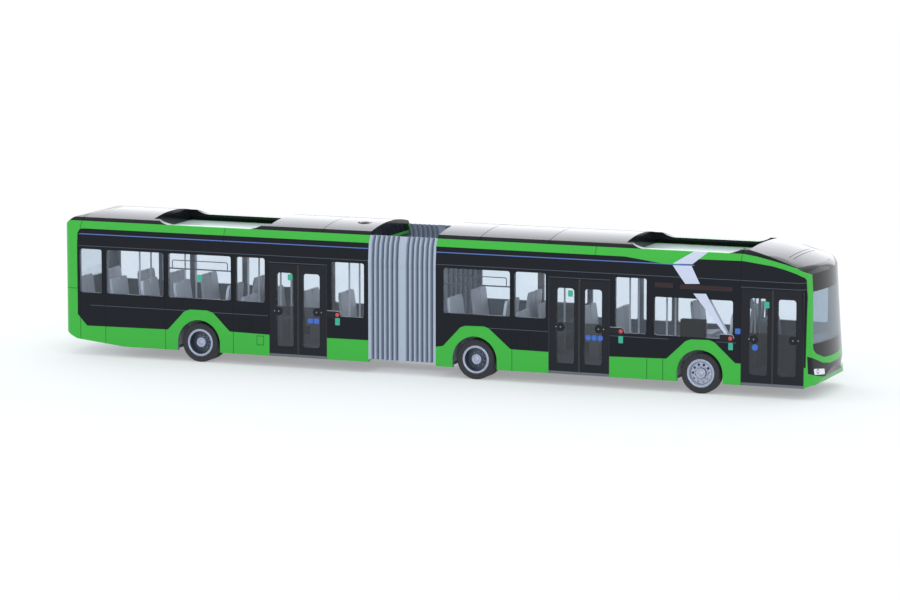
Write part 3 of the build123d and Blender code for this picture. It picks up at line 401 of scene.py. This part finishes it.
def clear_polystyrene(name, tint=CLEAR, prints=(), blocks=(), haze=0.02):
    """Clear moulded polystyrene: see-through with a cool cast, a mirror gloss and a little dust, partly printed, and
    darkened in given blocks, which on the door panes are painted shade.
    """
    material, tree, place = start_material(name)
    axes = axes_of(tree, place)
    noise, bump = grain(tree, place, size=6.0, depth=0.004)
    through = node(tree, "ShaderNodeBsdfTransparent", {0: mottled(tree, noise, tint, swing=0.015)})
    dust = node(tree, "ShaderNodeBsdfDiffuse", {0: DUST})
    body = mix_shaders(tree, haze, through.outputs[0], dust.outputs[0])
    shine = node(tree, "ShaderNodeBsdfGlossy", {"Roughness": 0.03, "Normal": bump})
    rim = node(tree, "ShaderNodeFresnel", {"IOR": POLYSTYRENE_IOR, "Normal": bump})
    # Only the face where light enters mirrors, because the pane would else reflect inside itself and turn dark
    entering = opposite(tree, node(tree, "ShaderNodeNewGeometry").outputs["Backfacing"])
    pane = mix_shaders(tree, every(tree, [rim.outputs[0], entering]), body, shine.outputs[0])
    marks = [(polygon(tree, axes, corners), STRIPE, 1.0) for corners in prints]
    # Dark blocks over the pane; on the door panes they are painted shade of the dim saloon behind
    marks += [(panel(tree, axes, *reach), BAND, strength) for reach, strength in blocks]
    for mask, colour, strength in marks:
        ink = node(tree, "ShaderNodeBsdfPrincipled", {"Base Color": colour, "Roughness": 0.3})
        pane = mix_shaders(tree, calc(tree, "MULTIPLY", mask, strength), pane, ink.outputs[0])
    set_surface(tree, pane)
    return material


def lamp_lens(name, bowl, ring, centre, radius):
    """Coloured or silvered lamp bowl behind a clear lens: shiny, with a ring of another colour in each lamp."""
    material, tree, place = start_material(name)
    axes = axes_of(tree, place)
    noise, bump = grain(tree, place, size=0.4, depth=0.02)
    reach = distance(tree, calc(tree, "ABSOLUTE", axes[1]), axes[2], centre)
    tone = mottled(tree, noise, bowl, swing=0.1)
    tone = paint_over(tree, tone, between(tree, reach, radius * 0.55, radius), ring)
    return finished(material, tree, {
        "Base Color": tone, "Normal": bump, "Roughness": 0.16, "IOR": POLYSTYRENE_IOR, "Coat Weight": 1.0,
        "Coat Roughness": 0.03})


def silver_paint(name, axle=None, dark=()):
    """Silver lacquer over ABS: a fine metallic flake under a soft gloss, with painted shade in rings about the axle."""
    material, tree, place = start_material(name)
    flake = node(tree, "ShaderNodeTexVoronoi", {"Vector": place, "Scale": 1 / 0.12})
    bump = grain(tree, place, size=0.5, depth=0.01)[1]
    tone = mottled(tree, flake.outputs["Distance"], RIM, swing=0.12)
    if axle:
        axes = axes_of(tree, place)
        reach = distance(tree, axes[0], axes[2], AXLES[axle])
        # Painted shade: the given rings about the axle are painted dark
        tone = paint_over(tree, tone, anyone(tree, [between(tree, reach, *ring) for ring in dark]), RIM_SHADE)
    return finished(material, tree, {"Base Color": tone, "Normal": bump, "Metallic": 0.55, "Roughness": 0.38})


def soft_vinyl(name, colour, roughness, valley_shade=None):
    """Soft moulded vinyl: matt, with a faint sheen, no clear reflection and painted shade down in any pleats."""
    material, tree, place = start_material(name)
    noise, bump = grain(tree, place, size=0.35, depth=0.03)
    tone = mottled(tree, noise, colour, swing=0.1)
    if valley_shade:
        # Painted shade: the deeper a point lies in its pleat, the more of the dark colour of the valleys it gets
        depth = node(tree, "ShaderNodeAttribute", attribute_name="pleat_depth")
        tone = paint_over(tree, tone, depth.outputs["Fac"], valley_shade)
    return finished(material, tree, {
        "Base Color": tone, "Normal": bump, "Roughness": roughness, "IOR": VINYL_IOR, "Sheen Weight": 0.1})


def drawn_steel(name):
    """Drawn steel wire: bright with lengthwise draw marks."""
    material, tree, place = start_material(name)
    stretch = vector_calc(tree, "MULTIPLY", place, (8.0, 0.4, 8.0)).outputs[0]
    noise, bump = grain(tree, stretch, size=1.0, depth=0.01)
    tone = mottled(tree, noise, linear("#B9BBBF"), swing=0.1)
    return finished(material, tree, {"Base Color": tone, "Normal": bump, "Metallic": 1.0, "Roughness": 0.3})


front_print = printed_abs(
    "front printed ABS", centre=(50, 0, 18), skirt=FRONT_SKIRT, brow=FRONT_BROW, ends=(2.0, 100.4),
    pinstripe=(2.0, 71.5), bay=(45.0, 90.0), joints=FRONT_JOINTS, flaps=FRONT_FLAPS, creases=FRONT_CREASES,
    rails=[FRONT_RAIL], displays=DISPLAYS, stripes=STRIPE_FOLDS)
rear_print = printed_abs(
    "rear printed ABS", centre=(-60, 0, 18), skirt=REAR_SKIRT, brow=REAR_BROW, ends=(-98.4, -15.0),
    pinstripe=(-98.0, -15.0), bay=(-85.0, -40.0), joints=REAR_JOINTS, flaps=REAR_FLAPS, creases=REAR_CREASES,
    ledges=TAIL_JOINTS)
# Seams of the roof covers as x and half length
FRONT_SEAMS = ((14.2, 15), (32.8, 15), (83.7, 15), (94.3, 9), (95.4, 9))
REAR_SEAMS = ((-29.0, 15), (-97.4, 15))
front_roof_black = gloss_abs("front roof ABS", ROOF, 0.16, FRONT_SEAMS)
rear_roof_black = gloss_abs("rear roof ABS", ROOF, 0.16, REAR_SEAMS)
door_black = gloss_abs("door ABS", linear("#12161E"), 0.3)
mask_black = gloss_abs("mask ABS", linear("#14171C"), 0.18)
seal_black = satin_abs("seal vinyl", linear("#15181C"), 0.55)
hopper_grey = satin_abs("hopper frame ABS", linear("#3E4651"), 0.4)
rim_grey = satin_abs("button rim ABS", linear("#98A1AE"), 0.4)
chassis_grey = satin_abs("chassis ABS", linear("#5A5F68"), 0.5, 0.8)
seat_grey = satin_abs("seat ABS", linear("#C4C8D0"), 0.55, 0.6)
cab_grey = satin_abs("cab ABS", linear("#7A828D"), 0.5, 0.6)
rail_grey = satin_abs("handrail ABS", linear("#E6E9ED"), 0.4, 0.4)
# Dark blocks on the panes as x and z reach with how dark they are: painted shade on the lower door panes, where the dim
# saloon lies behind, and a corner over the front wheel
FRONT_DOOR_SHADE = [((33.0, 50.0, 3.0, 16.0), 0.5), ((83.0, 101.0, 3.0, 16.0), 0.65)]
REAR_DOOR_SHADE = [((-44.0, -26.5, 3.0, 16.0), 0.5)]
CORNER_BLOCK = [((68.1, 74.5, 13.0, 18.6), 1.0)]
clear = clear_polystyrene("clear polystyrene")
screen_clear = clear_polystyrene("windscreen polystyrene", linear("#CDD9E2"), haze=0.24)
tail_clear = clear_polystyrene("rear window polystyrene", linear("#EEF3F7"), haze=0.08)
door_clear = clear_polystyrene("door polystyrene", blocks=FRONT_DOOR_SHADE)
rear_door_clear = clear_polystyrene("rear door polystyrene", blocks=REAR_DOOR_SHADE)
right_clear = clear_polystyrene("right front polystyrene", prints=STRIPE_FOLDS[2:], blocks=CORNER_BLOCK)
left_clear = clear_polystyrene("left front polystyrene", prints=STRIPE_FOLDS[2:])
lamp_white = lamp_lens("headlamp polystyrene", linear("#D9DEE6"), linear("#3A4048"), (10.6, 6.85), 0.62)
lamp_red = lamp_lens("tail lamp polystyrene", linear("#A01016"), linear("#E8862A"), (12.05, 12.6), 0.8)
rim_silver = silver_paint("silver lacquer")
tyre_black = soft_vinyl("tyre vinyl", linear("#1B1E23"), 0.62)
# The second colour is painted shade down in the pleats
bellows_grey = soft_vinyl("bellows vinyl", linear("#A0ACBD"), 0.6, linear("#5F6C7E"))
axle_steel = drawn_steel("drawn steel")
sign_blue = gloss_abs("blue print", linear("#3D66B8"), 0.35)
sign_green = gloss_abs("green print", linear("#3BA58A"), 0.35)
sign_red = gloss_abs("red button ABS", linear("#C6484E"), 0.3)

# Rings of painted shade on the rims, a wide one in the deep dish of the twin wheels and thin ones on the front wheels,
# as (inner, outer) radius
RIM_SHADE_RINGS = {"front": [(0.55, 0.7), (1.26, 1.36), (2.7, 2.85)], "middle": [(1.35, 3.0)], "rear": [(1.35, 3.0)]}
FINISH = {
    "front_shell": front_print, "rear_shell": rear_print,
    "front_roof_fairing": front_roof_black, "rear_roof_fairing": rear_roof_black,
    "front_scuttle": mask_black, "front_mask": mask_black, "headlamps": lamp_white, "tail_lamps": lamp_red,
    "windscreen": screen_clear, "rear_window": tail_clear,
    "front_glazing_right": right_clear, "front_glazing_left": left_clear,
    "rear_glazing_right": clear, "rear_glazing_left": clear,
    "front_door_panes": door_clear, "rear_door_panes": rear_door_clear,
    "front_door": door_black, "middle_door": door_black, "rear_door": door_black,
    "front_chassis": chassis_grey, "rear_chassis": chassis_grey, "pivot_pin": chassis_grey,
    "front_seats": seat_grey, "rear_seats": seat_grey, "driver_seat": cab_grey, "dashboard": cab_grey,
    "steering_wheel": seal_black, "cab_partition": cab_grey,
    "front_handrails": rail_grey, "rear_handrails": rail_grey, "bellows": bellows_grey,
}
for axle, rings in RIM_SHADE_RINGS.items():
    FINISH[f"{axle}_tyres"] = tyre_black
    FINISH[f"{axle}_rims"] = silver_paint(f"{axle} rim lacquer", f"{axle}_axle", rings)
    FINISH[f"{axle}_axle_pin"] = axle_steel
for name, material in FINISH.items():
    NODES[name].data.materials.clear()
    NODES[name].data.materials.append(material)


# Meshes: a part is a list of points in millimetres and a list of faces

def add_object(name, data):
    """A new object in the scene."""
    made = bpy.data.objects.new(name, data)
    bpy.context.scene.collection.objects.link(made)
    return made


def add_mesh(name, parts, material, smooth=False, sharp=None):
    """A piece from its parts, with normals turned outwards and edges over a sharp angle in degrees kept crisp."""
    verts, faces = joined(parts)
    mesh = bpy.data.meshes.new(name)
    mesh.from_pydata([Vector(v) * MM for v in verts], [], faces)
    shape = bmesh.new()
    shape.from_mesh(mesh)
    bmesh.ops.remove_doubles(shape, verts=shape.verts, dist=1e-7)
    bmesh.ops.recalc_face_normals(shape, faces=shape.faces)
    shape.to_mesh(mesh)
    shape.free()
    mesh.materials.append(material)
    for face in mesh.polygons:
        face.use_smooth = smooth
    if sharp:
        mesh.set_sharp_from_angle(angle=math.radians(sharp))
    piece = add_object(name, mesh)
    return piece


def joined(parts):
    """Several parts as one."""
    verts, faces = [], []
    for points, rings in parts:
        start = len(verts)
        verts += points
        faces += [tuple(start + i for i in ring) for ring in rings]
    return verts, faces


def mirrored(part):
    """The same part on the left side wall."""
    verts, faces = part
    return [(x, -y, z) for x, y, z in verts], faces


def circle(x, z, radius, steps=24):
    """Points round a centre."""
    turns = [2 * math.pi * k / steps for k in range(steps)]
    return [(x + radius * math.cos(turn), z + radius * math.sin(turn)) for turn in turns]


def rounded(x0, x1, z0, z1, radius):
    """Points round a rectangle with rounded corners."""
    steps = 4
    corners = [(x1 - radius, z1 - radius, 0), (x0 + radius, z1 - radius, 90), (x0 + radius, z0 + radius, 180),
               (x1 - radius, z0 + radius, 270)]
    path = []
    for cx, cz, start in corners:
        for k in range(steps + 1):
            turn = math.radians(start + 90 * k / steps)
            path.append((cx + radius * math.cos(turn), cz + radius * math.sin(turn)))
    return path


def skin(rings, lid=True):
    """A part over rings of points, closed at its first ring and, with a lid, at its last."""
    count = len(rings[0])
    verts = [point for ring in rings for point in ring]
    last = len(verts) - count
    faces = []
    for start in range(0, last, count):
        for k in range(count):
            a, b = start + k, start + (k + 1) % count
            faces.append((a, b, b + count, a + count))
    if lid:
        faces.append(tuple(range(last, last + count)))
    faces.append(tuple(range(count - 1, -1, -1)))
    return verts, faces


def lathe(profile, x, z, side, segments):
    """A closed (radius, y) profile turned about an axle."""
    verts, faces = [], []
    count = len(profile)
    for i in range(segments):
        turn = 2 * math.pi * i / segments
        for radius, y in profile:
            verts.append((x + radius * math.cos(turn), side * y, z + radius * math.sin(turn)))
    for i in range(segments):
        for k in range(count):
            a, b = i * count + k, i * count + (k + 1) % count
            c, d = (i + 1) % segments * count + (k + 1) % count, (i + 1) % segments * count + k
            faces.append((a, b, c, d))
    return verts, faces


def strip(path, width, y, lift):
    """A flat moulding along a path on the right side wall, mitred at its corners and with a bevelled face."""
    section = ((-0.5, 0.0), (-0.5, 0.7), (-0.3, 1.0), (0.3, 1.0), (0.5, 0.7), (0.5, 0.0))
    normals = []
    for (x0, z0), (x1, z1) in zip(path, path[1:]):
        size = math.hypot(x1 - x0, z1 - z0)
        normals.append((-(z1 - z0) / size, (x1 - x0) / size))
    rings = []
    for i, (x, z) in enumerate(path):
        beside = normals[max(i - 1, 0):i + 1]
        nx = sum(n[0] for n in beside) / len(beside)
        nz = sum(n[1] for n in beside) / len(beside)
        mitre = width / (nx * nx + nz * nz)
        rings.append([(x + nx * mitre * share, -y - lift * height, z + nz * mitre * share)
                      for share, height in section])
    return skin(rings)


def plate(path, y, lift, bevel=0.05):
    """A thin plate on the right side wall with a bevelled rim, from its outline."""
    count = len(path)
    cx = sum(p[0] for p in path) / count
    cz = sum(p[1] for p in path) / count
    reach = max(math.hypot(p[0] - cx, p[1] - cz) for p in path)
    shrink = 1 - bevel / reach
    face = [(cx + (x - cx) * shrink, cz + (z - cz) * shrink) for x, z in path]
    levels = ((path, 0.0), (path, 0.6), (face, 1.0))
    return skin([[(x, -y - lift * share, z) for x, z in ring] for ring, share in levels])


# Wheels

# A tyre's sidewall as steps out from the rim and depths below the wheel's face
SIDEWALL = [(0.0, 0.18), (0.22, 0.05), (0.55, 0.0), (0.6, 0.06), (0.72, 0.06), (0.77, 0.0)]
# A tread groove's section as depths below the tread and steps across
GROOVE = [(0.0, 0.1), (0.12, 0.07), (0.12, -0.07), (0.0, -0.1)]
GROOVE_SHARES = (0.3, 0.5, 0.7)
# Sections of the rim lip from the rim's edge, and of the hub dome and step from the axle, as (radius, y)
LIP = [(-0.02, -0.5), (-0.02, 0.02), (-0.12, 0.12), (-0.3, 0.12), (-0.42, 0.0), (-0.62, -0.45), (-0.5, -0.5)]
HUB_DOME = [(0.001, -0.1), (0.001, 0.16), (0.35, 0.14), (0.62, 0.06), (0.7, -0.02), (0.7, -0.1)]
HUB_STEP = [(1.28, -0.3), (1.28, 0.02), (1.16, 0.08), (0.95, 0.08), (0.9, 0.0), (0.9, -0.3)]
# How deep the wheel disc and the hub lie in the rim, and the radius of the circle of nuts
SINGLE_WHEEL = (0.55, 0.1, 1.62)
TWIN_WHEEL = (2.2, 0.5, 1.75)
RIM_DEPTH = 0.2
NUTS = 10


def tyre_profile(face):
    """A tyre's section from its outer face inwards: beads, ribbed sidewalls, round shoulders and tread grooves."""
    shoulder, flat, steps = 0.42, 0.15, 5
    profile = [(RIM_R + out, face - depth) for out, depth in SIDEWALL]
    profile.append((TYRE_R - shoulder - flat, face))
    for k in range(steps + 1):
        turn = math.pi / 2 * k / steps
        profile.append((TYRE_R - shoulder + shoulder * math.sin(turn), face - shoulder + shoulder * math.cos(turn)))
    back = [(radius, 2 * face - TYRE_WIDTH - y) for radius, y in reversed(profile)]
    for share in GROOVE_SHARES:
        middle = face - TYRE_WIDTH * share
        profile += [(TYRE_R - depth, middle + across) for depth, across in GROOVE]
    return profile + back


def build_tyres():
    """Tyres in place of the plain rings: one a side in front, two a side behind."""
    for axle, (x, z) in AXLES.items():
        name = axle.replace("axle", "tyres")
        faces = [WHEEL_FACE] if axle == "front_axle" else [WHEEL_FACE, WHEEL_FACE - TWIN_PITCH]
        rings = [lathe(tyre_profile(face), x, z, side, segments=72) for side in (1, -1) for face in faces]
        tyres = add_mesh(f"{name}_ribbed", rings, tyre_black, smooth=True)
        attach(tyres, axle)
        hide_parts(name)


def nut(x, y, z, side):
    """A domed hexagon nut standing out from a wheel disc."""
    radius, height, sides = 0.17, 0.28, 6
    levels = [(radius, 0.0), (radius, height * 0.7), (radius * 0.6, height)]
    return skin([[(a, side * (y + lift), b) for a, b in circle(x, z, size, sides)] for size, lift in levels])


def build_wheel_trim():
    """Rolled rim lips, hub domes and wheel nuts, which turn with the axles."""
    for axle, (x, z) in AXLES.items():
        disc_depth, hub_depth, nut_circle = SINGLE_WHEEL if axle == "front_axle" else TWIN_WHEEL
        out = WHEEL_FACE - RIM_DEPTH
        hub = out - hub_depth
        parts = []
        for side in (1, -1):
            parts += [lathe([(RIM_R + radius, out + y) for radius, y in LIP], x, z, side, segments=64),
                      lathe([(radius, hub + y) for radius, y in HUB_DOME], x, z, side, segments=32),
                      lathe([(radius, hub + y) for radius, y in HUB_STEP], x, z, side, segments=48)]
            for k in range(NUTS):
                turn = 2 * math.pi * (k + 0.5) / NUTS
                centre = x + nut_circle * math.cos(turn), out - disc_depth, z + nut_circle * math.sin(turn)
                parts.append(nut(*centre, side))
        trim = add_mesh(axle.replace("axle", "wheel_trim"), parts, rim_silver)
        for face in trim.data.polygons:
            face.use_smooth = len(face.vertices) == 4
        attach(trim, axle)


# Bellows

# The wall from the foot up, as (inset, z), with a sewn line below the shoulder
BELLOWS_WALL = [(0.0, BELLOWS_FOOT), (0.0, BELLOWS_FOOT + 0.5), (0.0, 9.0), (0.0, 15.0), (0.0, 21.0), (0.0, 27.2),
                (0.07, 27.35), (0.0, 27.5), (0.0, SHOULDER), (0.45, EAVE), (1.45, CANTRAIL)]
CLOTH = 0.3


def pleat_depths():
    """How deep the bellows wall lies along its length: rounded crests, narrow valleys and a flat middle band."""
    folds, band, lip, depth, steps = 6, 1.6, 0.5, 0.95, 12
    pitch = (FRONT_END - REAR_END - band - 2 * lip) / (2 * folds)
    places = [(REAR_END, 0.0)]
    x = REAR_END + lip
    for _ in range(2):
        for _ in range(folds):
            for k in range(steps):
                t = k / steps
                places.append((x + pitch * t, depth * (0.5 - 0.5 * math.cos(2 * math.pi * t)) ** 1.5))
            x += pitch
        places.append((x, 0.0))
        x += band
    places.append((FRONT_END, 0.0))
    return places


def build_bellows():
    """Pleated walls of thin cloth, with a sewn line near the top; open above and below."""
    outline = [(HALF_WIDTH - inset, z) for inset, z in BELLOWS_WALL]
    places = pleat_depths()
    rows, columns = len(outline), len(places)
    back = rows * columns
    parts = []
    for side in (1, -1):
        verts, faces = [], []
        for layer in (0.0, CLOTH):
            for x, depth in places:
                verts += [(x, side * (y - depth - layer), z) for y, z in outline]
        for i in range(columns - 1):
            for k in range(rows - 1):
                a, b, c, d = i * rows + k, (i + 1) * rows + k, (i + 1) * rows + k + 1, i * rows + k + 1
                faces += [(a, b, c, d), (back + d, back + c, back + b, back + a)]
            for k in (0, rows - 1):
                a, b = i * rows + k, (i + 1) * rows + k
                faces.append((a, b, back + b, back + a))
        for i in (0, columns - 1):
            for k in range(rows - 1):
                a, b = i * rows + k, i * rows + k + 1
                faces.append((a, b, back + b, back + a))
        parts.append((verts, faces))
    bellows = add_mesh("bellows_pleats", parts, bellows_grey, smooth=True, sharp=50)
    # The material reads how deep each point lies in its pleat, to paint shade into the valleys
    deepest = max(depth for x, depth in places)
    shading = bellows.data.attributes.new("pleat_depth", "FLOAT", "POINT")
    for vertex, value in zip(bellows.data.vertices, shading.data):
        nearest = min(places, key=lambda place: abs(place[0] - vertex.co.x / MM))
        value.value = nearest[1] / deepest
    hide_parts("bellows")
    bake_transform(bellows)


# Windows, doors and signs

# Tilting top lights as x reach, z of the bar and z of the top
HOPPERS = {"front": (5.0, 22.9, 24.25, 26.5), "rear": (-72.0, -54.2, 24.35, 26.5)}
# Doors as x of the two outer edges, and the places of their push discs
DOORS = {"front": [(33.3, 49.5), (83.8, 100.0)], "rear": [(-43.4, -27.2)]}
DISCS = {"front": [(36.5, 14.85), (46.6, 14.8), (87.1, 14.5), (97.2, 14.7)], "rear": [(-40.7, 14.7), (-30.1, 14.9)]}
# The z reach of the rubber between the leaves and of the ones at the outer edges
MIDDLE_RUBBER = (3.7, 26.8)
EDGE_RUBBER = (3.7, 26.9)
# Blank plates as outlines with the wall they lie on, and door buttons as places
BLUE_PLATES = {
    "front": [(circle(43.8, 12.5, 0.72), DOOR_FACE), (circle(45.4, 12.5, 0.72), DOOR_FACE),
              (circle(47.0, 12.5, 0.72), DOOR_FACE), (rounded(82.3, 83.7, 15.6, 17.0, 0.25), HALF_WIDTH),
              (circle(87.4, 12.5, 0.8), DOOR_FACE)],
    "rear": [(rounded(-32.6, -31.2, 11.95, 13.2, 0.2), DOOR_FACE),
             (rounded(-30.95, -29.5, 11.95, 13.25, 0.2), DOOR_FACE)],
}
GREEN_PLATES = {
    "front": [(rounded(80.6, 81.8, 11.5, 13.3, 0.2), HALF_WIDTH), (rounded(51.9, 53.1, 11.6, 13.4, 0.2), HALF_WIDTH),
              (rounded(38.4, 39.7, 22.6, 24.2, 0.2), DOOR_FACE), (rounded(89.7, 91.0, 22.4, 24.0, 0.2), DOOR_FACE)],
    "rear": [(rounded(-24.9, -23.6, 11.9, 13.8, 0.2), HALF_WIDTH), (rounded(-38.2, -36.9, 22.8, 24.4, 0.2), DOOR_FACE),
             (rounded(-63.7, -62.4, 21.2, 23.0, 0.2), HALF_WIDTH)],
}
BUTTONS = {"front": [(81.1, 14.4), (52.5, 14.6)], "rear": [(-24.3, 14.6)]}
# The edge angle, in degrees, over which small turned pieces stay crisp
CRISP = 40


def build_hoppers():
    """Tilting top lights on both sides: a bar across the pane and a thin inner frame above it."""
    corner = 0.3
    for body, (x0, x1, bar, top) in HOPPERS.items():
        left, right = x0 + 1.2, x1 - 0.9
        arch = [(left, bar), (left, top - corner), (left + corner, top), (right - corner, top), (right, top - corner),
                (right, bar)]
        parts = [strip([(x0, bar), (x1, bar)], width=0.34, y=HALF_WIDTH, lift=0.1),
                 strip(arch, width=0.22, y=HALF_WIDTH, lift=0.08)]
        parts += [mirrored(part) for part in parts]
        hoppers = add_mesh(f"{body}_hopper_frames", parts, hopper_grey)
        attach(hoppers, body)


def upright(x, reach, width, y, lift):
    """An upright rubber on a door."""
    return strip([(x, z) for z in reach], width, y, lift)


def build_door_fittings():
    """Rubbers between the door leaves and at their outer edges, and push discs with their screws."""
    edge_inset, screw_offset = 0.12, 1.25
    for body in ("front", "rear"):
        rubber, discs, dots = [], [], []
        for x0, x1 in DOORS[body]:
            rubber.append(upright((x0 + x1) / 2, MIDDLE_RUBBER, width=0.5, y=DOOR_FACE - 0.12, lift=0.24))
            for edge in (x0 + edge_inset, x1 - edge_inset):
                rubber.append(upright(edge, EDGE_RUBBER, width=0.18, y=DOOR_FACE - 0.05, lift=0.12))
        for k, (x, z) in enumerate(DISCS[body]):
            outer = x + (screw_offset if k % 2 else -screw_offset)
            discs += [plate(circle(x, z, 1.1), y=DOOR_FACE, lift=0.14, bevel=0.3),
                      plate(circle(x, z, 0.5), y=DOOR_FACE + 0.13, lift=0.1, bevel=0.15)]
            dots += [plate(circle(x, z, 0.15, 12), y=DOOR_FACE + 0.22, lift=0.05),
                     plate(circle(outer, z, 0.15, 12), y=DOOR_FACE, lift=0.08)]
        seals = add_mesh(f"{body}_door_seals", rubber, seal_black)
        knobs = add_mesh(f"{body}_door_discs", discs, mask_black, smooth=True, sharp=CRISP)
        screws = add_mesh(f"{body}_disc_screws", dots, rim_grey)
        for piece in (seals, knobs, screws):
            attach(piece, body)


def build_signs():
    """Small plates on and beside the doors, all blank: blue discs and squares, green squares and red door buttons."""
    # How far a button's pad and its grip reach to the tail, to the nose and up from the button, and the pad down
    aft, fore, rise, drop = 2.8, 0.95, 0.95, 0.85
    for body in ("front", "rear"):
        blues, greens = ([plate(outline, y, lift=0.04) for outline, y in plates[body]]
                         for plates in (BLUE_PLATES, GREEN_PLATES))
        buttons, bars, pads = [], [], []
        for x, z in BUTTONS[body]:
            buttons.append(plate(circle(x, z, 0.52), y=HALF_WIDTH, lift=0.16, bevel=0.12))
            grip = [(x - aft, z + rise), (x + 0.2, z + rise), (x + 0.75, z + 0.7), (x + fore, z)]
            bars.append(strip(grip, width=0.14, y=HALF_WIDTH, lift=0.1))
            pads.append(plate(rounded(x - aft, x + fore, z - drop, z + rise, 0.5), y=HALF_WIDTH, lift=0.05))
        pieces = [
            add_mesh(f"{body}_blue_plates", blues, sign_blue),
            add_mesh(f"{body}_green_plates", greens, sign_green),
            add_mesh(f"{body}_door_buttons", buttons, sign_red, smooth=True, sharp=CRISP),
            add_mesh(f"{body}_button_rims", bars, rim_grey),
            add_mesh(f"{body}_button_pads", pads, mask_black),
        ]
        for piece in pieces:
            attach(piece, body)


def build_roof_hatch():
    """A round vent cover near the joint on the rear roof: a domed lid on a raised ring."""
    x, y, top, radius = -20.9, -4.0, 37.35, 2.0
    levels = [(radius, -0.5), (radius, 0.02), (radius - 0.2, 0.12), (radius - 0.45, 0.12), (radius - 0.55, 0.02),
              (radius - 0.65, 0.05), (radius * 0.4, 0.16), (0.01, 0.18)]
    rings = [[(a, b, top + lift) for a, b in circle(x, y, size, 48)] for size, lift in levels]
    hatch = add_mesh("roof_vent", [skin(rings, lid=False)], seal_black, smooth=True, sharp=CRISP)
    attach(hatch, "rear")


build_tyres()
build_wheel_trim()
build_bellows()
build_hoppers()
build_door_fittings()
build_signs()
build_roof_hatch()


# Studio, in metres

FLOOR_RADIUS = 4.0
# The floor turns from lit paper to plain white between these distances from the model, in millimetres
FLOOR_FADE = (90.0, 380.0)
FLOOR_WHITE = (0.3, 1.0)
WORLD_LEVEL = 0.95
# Lamps as name, place, target, width, height and watts
SOFTBOXES = [
    ("key_softbox", (0.35, -0.95, 0.4), (0, 0, 0.015), 0.9, 0.5, 3.0),
    ("top_softbox", (0.1, 0.05, 1.0), (0, 0, 0.03), 1.0, 0.5, 1.0),
    ("back_softbox", (-0.36, 0.85, 0.3), (0, 0, 0.03), 1.4, 0.46, 3.3),
    ("right_softbox", (0.6, 0.85, 0.24), (0.1, 0, 0.03), 0.5, 0.44, 0.7),
]
# The camera of the photograph, with its distance and target in millimetres
CAMERA_AZIMUTH = math.radians(21.667)
CAMERA_ELEVATION = math.radians(8.124)
CAMERA_DISTANCE = 1064.9
CAMERA_TARGET = Vector((0.905, 0, 17.826))
SENSOR_WIDTH = 36.0
LENS = 165.88


def seen_rays(tree):
    """1 for the rays that see the background: straight from the camera, or by way of gloss and glass."""
    path = node(tree, "ShaderNodeLightPath")
    return anyone(tree, [path.outputs[kind] for kind in ("Is Camera Ray", "Is Glossy Ray", "Is Transmission Ray")])


def build_floor():
    """A pale lit paper floor that keeps the model's shadow, plain white away from the model."""
    steps = 96
    mesh = bpy.data.meshes.new("studio_floor")
    mesh.from_pydata([(x, y, 0) for x, y in circle(0, 0, FLOOR_RADIUS, steps)], [], [tuple(range(steps))])
    floor = add_object("studio_floor", mesh)
    material, tree, place = start_material("studio paper")
    paper = node(tree, "ShaderNodeBsdfDiffuse", {0: linear("#F1F6F9")})
    white = node(tree, "ShaderNodeEmission", {"Strength": 1.0})
    away = vector_calc(tree, "LENGTH", place).outputs["Value"]
    fade = ramp(tree, away, *FLOOR_FADE, *FLOOR_WHITE, interpolation_type="SMOOTHSTEP")
    set_surface(tree, mix_shaders(tree, every(tree, [fade, seen_rays(tree)]), paper.outputs[0], white.outputs[0]))
    mesh.materials.append(material)


def build_world():
    """An even surround that is plain white to the eye and in reflections."""
    world = bpy.data.worlds.new("studio_surround")
    world.use_nodes = True
    tree = world.node_tree
    tree.nodes.clear()
    strength = ramp(tree, seen_rays(tree), 0.0, 1.0, WORLD_LEVEL, 1.0)
    light = node(tree, "ShaderNodeBackground", {"Color": (1, 1, 1, 1), "Strength": strength})
    output = node(tree, "ShaderNodeOutputWorld")
    tree.links.new(light.outputs[0], output.inputs[0])
    bpy.context.scene.world = world


def aim(made, place, direction):
    """Puts a lamp or the camera in its place, facing a direction."""
    made.location = place
    made.rotation_mode = "QUATERNION"
    made.rotation_quaternion = direction.to_track_quat("-Z", "Y")


def softbox(name, place, target, width, height, watts):
    """A large soft lamp aimed at the model, itself out of sight."""
    lamp = bpy.data.lights.new(name, "AREA")
    lamp.shape, lamp.size, lamp.size_y, lamp.energy = "RECTANGLE", width, height, watts
    lamp.color = linear("#F3F6FF")[:3]
    box = add_object(name, lamp)
    aim(box, place, Vector(target) - Vector(place))
    box.visible_camera = False


def build_camera():
    """The photograph's view: a long lens from the front right, a little above the roof."""
    level = math.cos(CAMERA_ELEVATION)
    back = Vector((math.sin(CAMERA_AZIMUTH) * level, -math.cos(CAMERA_AZIMUTH) * level, math.sin(CAMERA_ELEVATION)))
    camera = bpy.data.cameras.new("camera")
    camera.sensor_width, camera.lens = SENSOR_WIDTH, LENS
    camera.clip_start, camera.clip_end = 0.05, 20
    view = add_object("camera", camera)
    aim(view, (CAMERA_TARGET + back * CAMERA_DISTANCE) * MM, -back)
    bpy.context.scene.camera = view


build_floor()
build_world()
for lamp in SOFTBOXES:
    softbox(*lamp)
build_camera()
bpy.context.scene.view_settings.view_transform = "Standard"
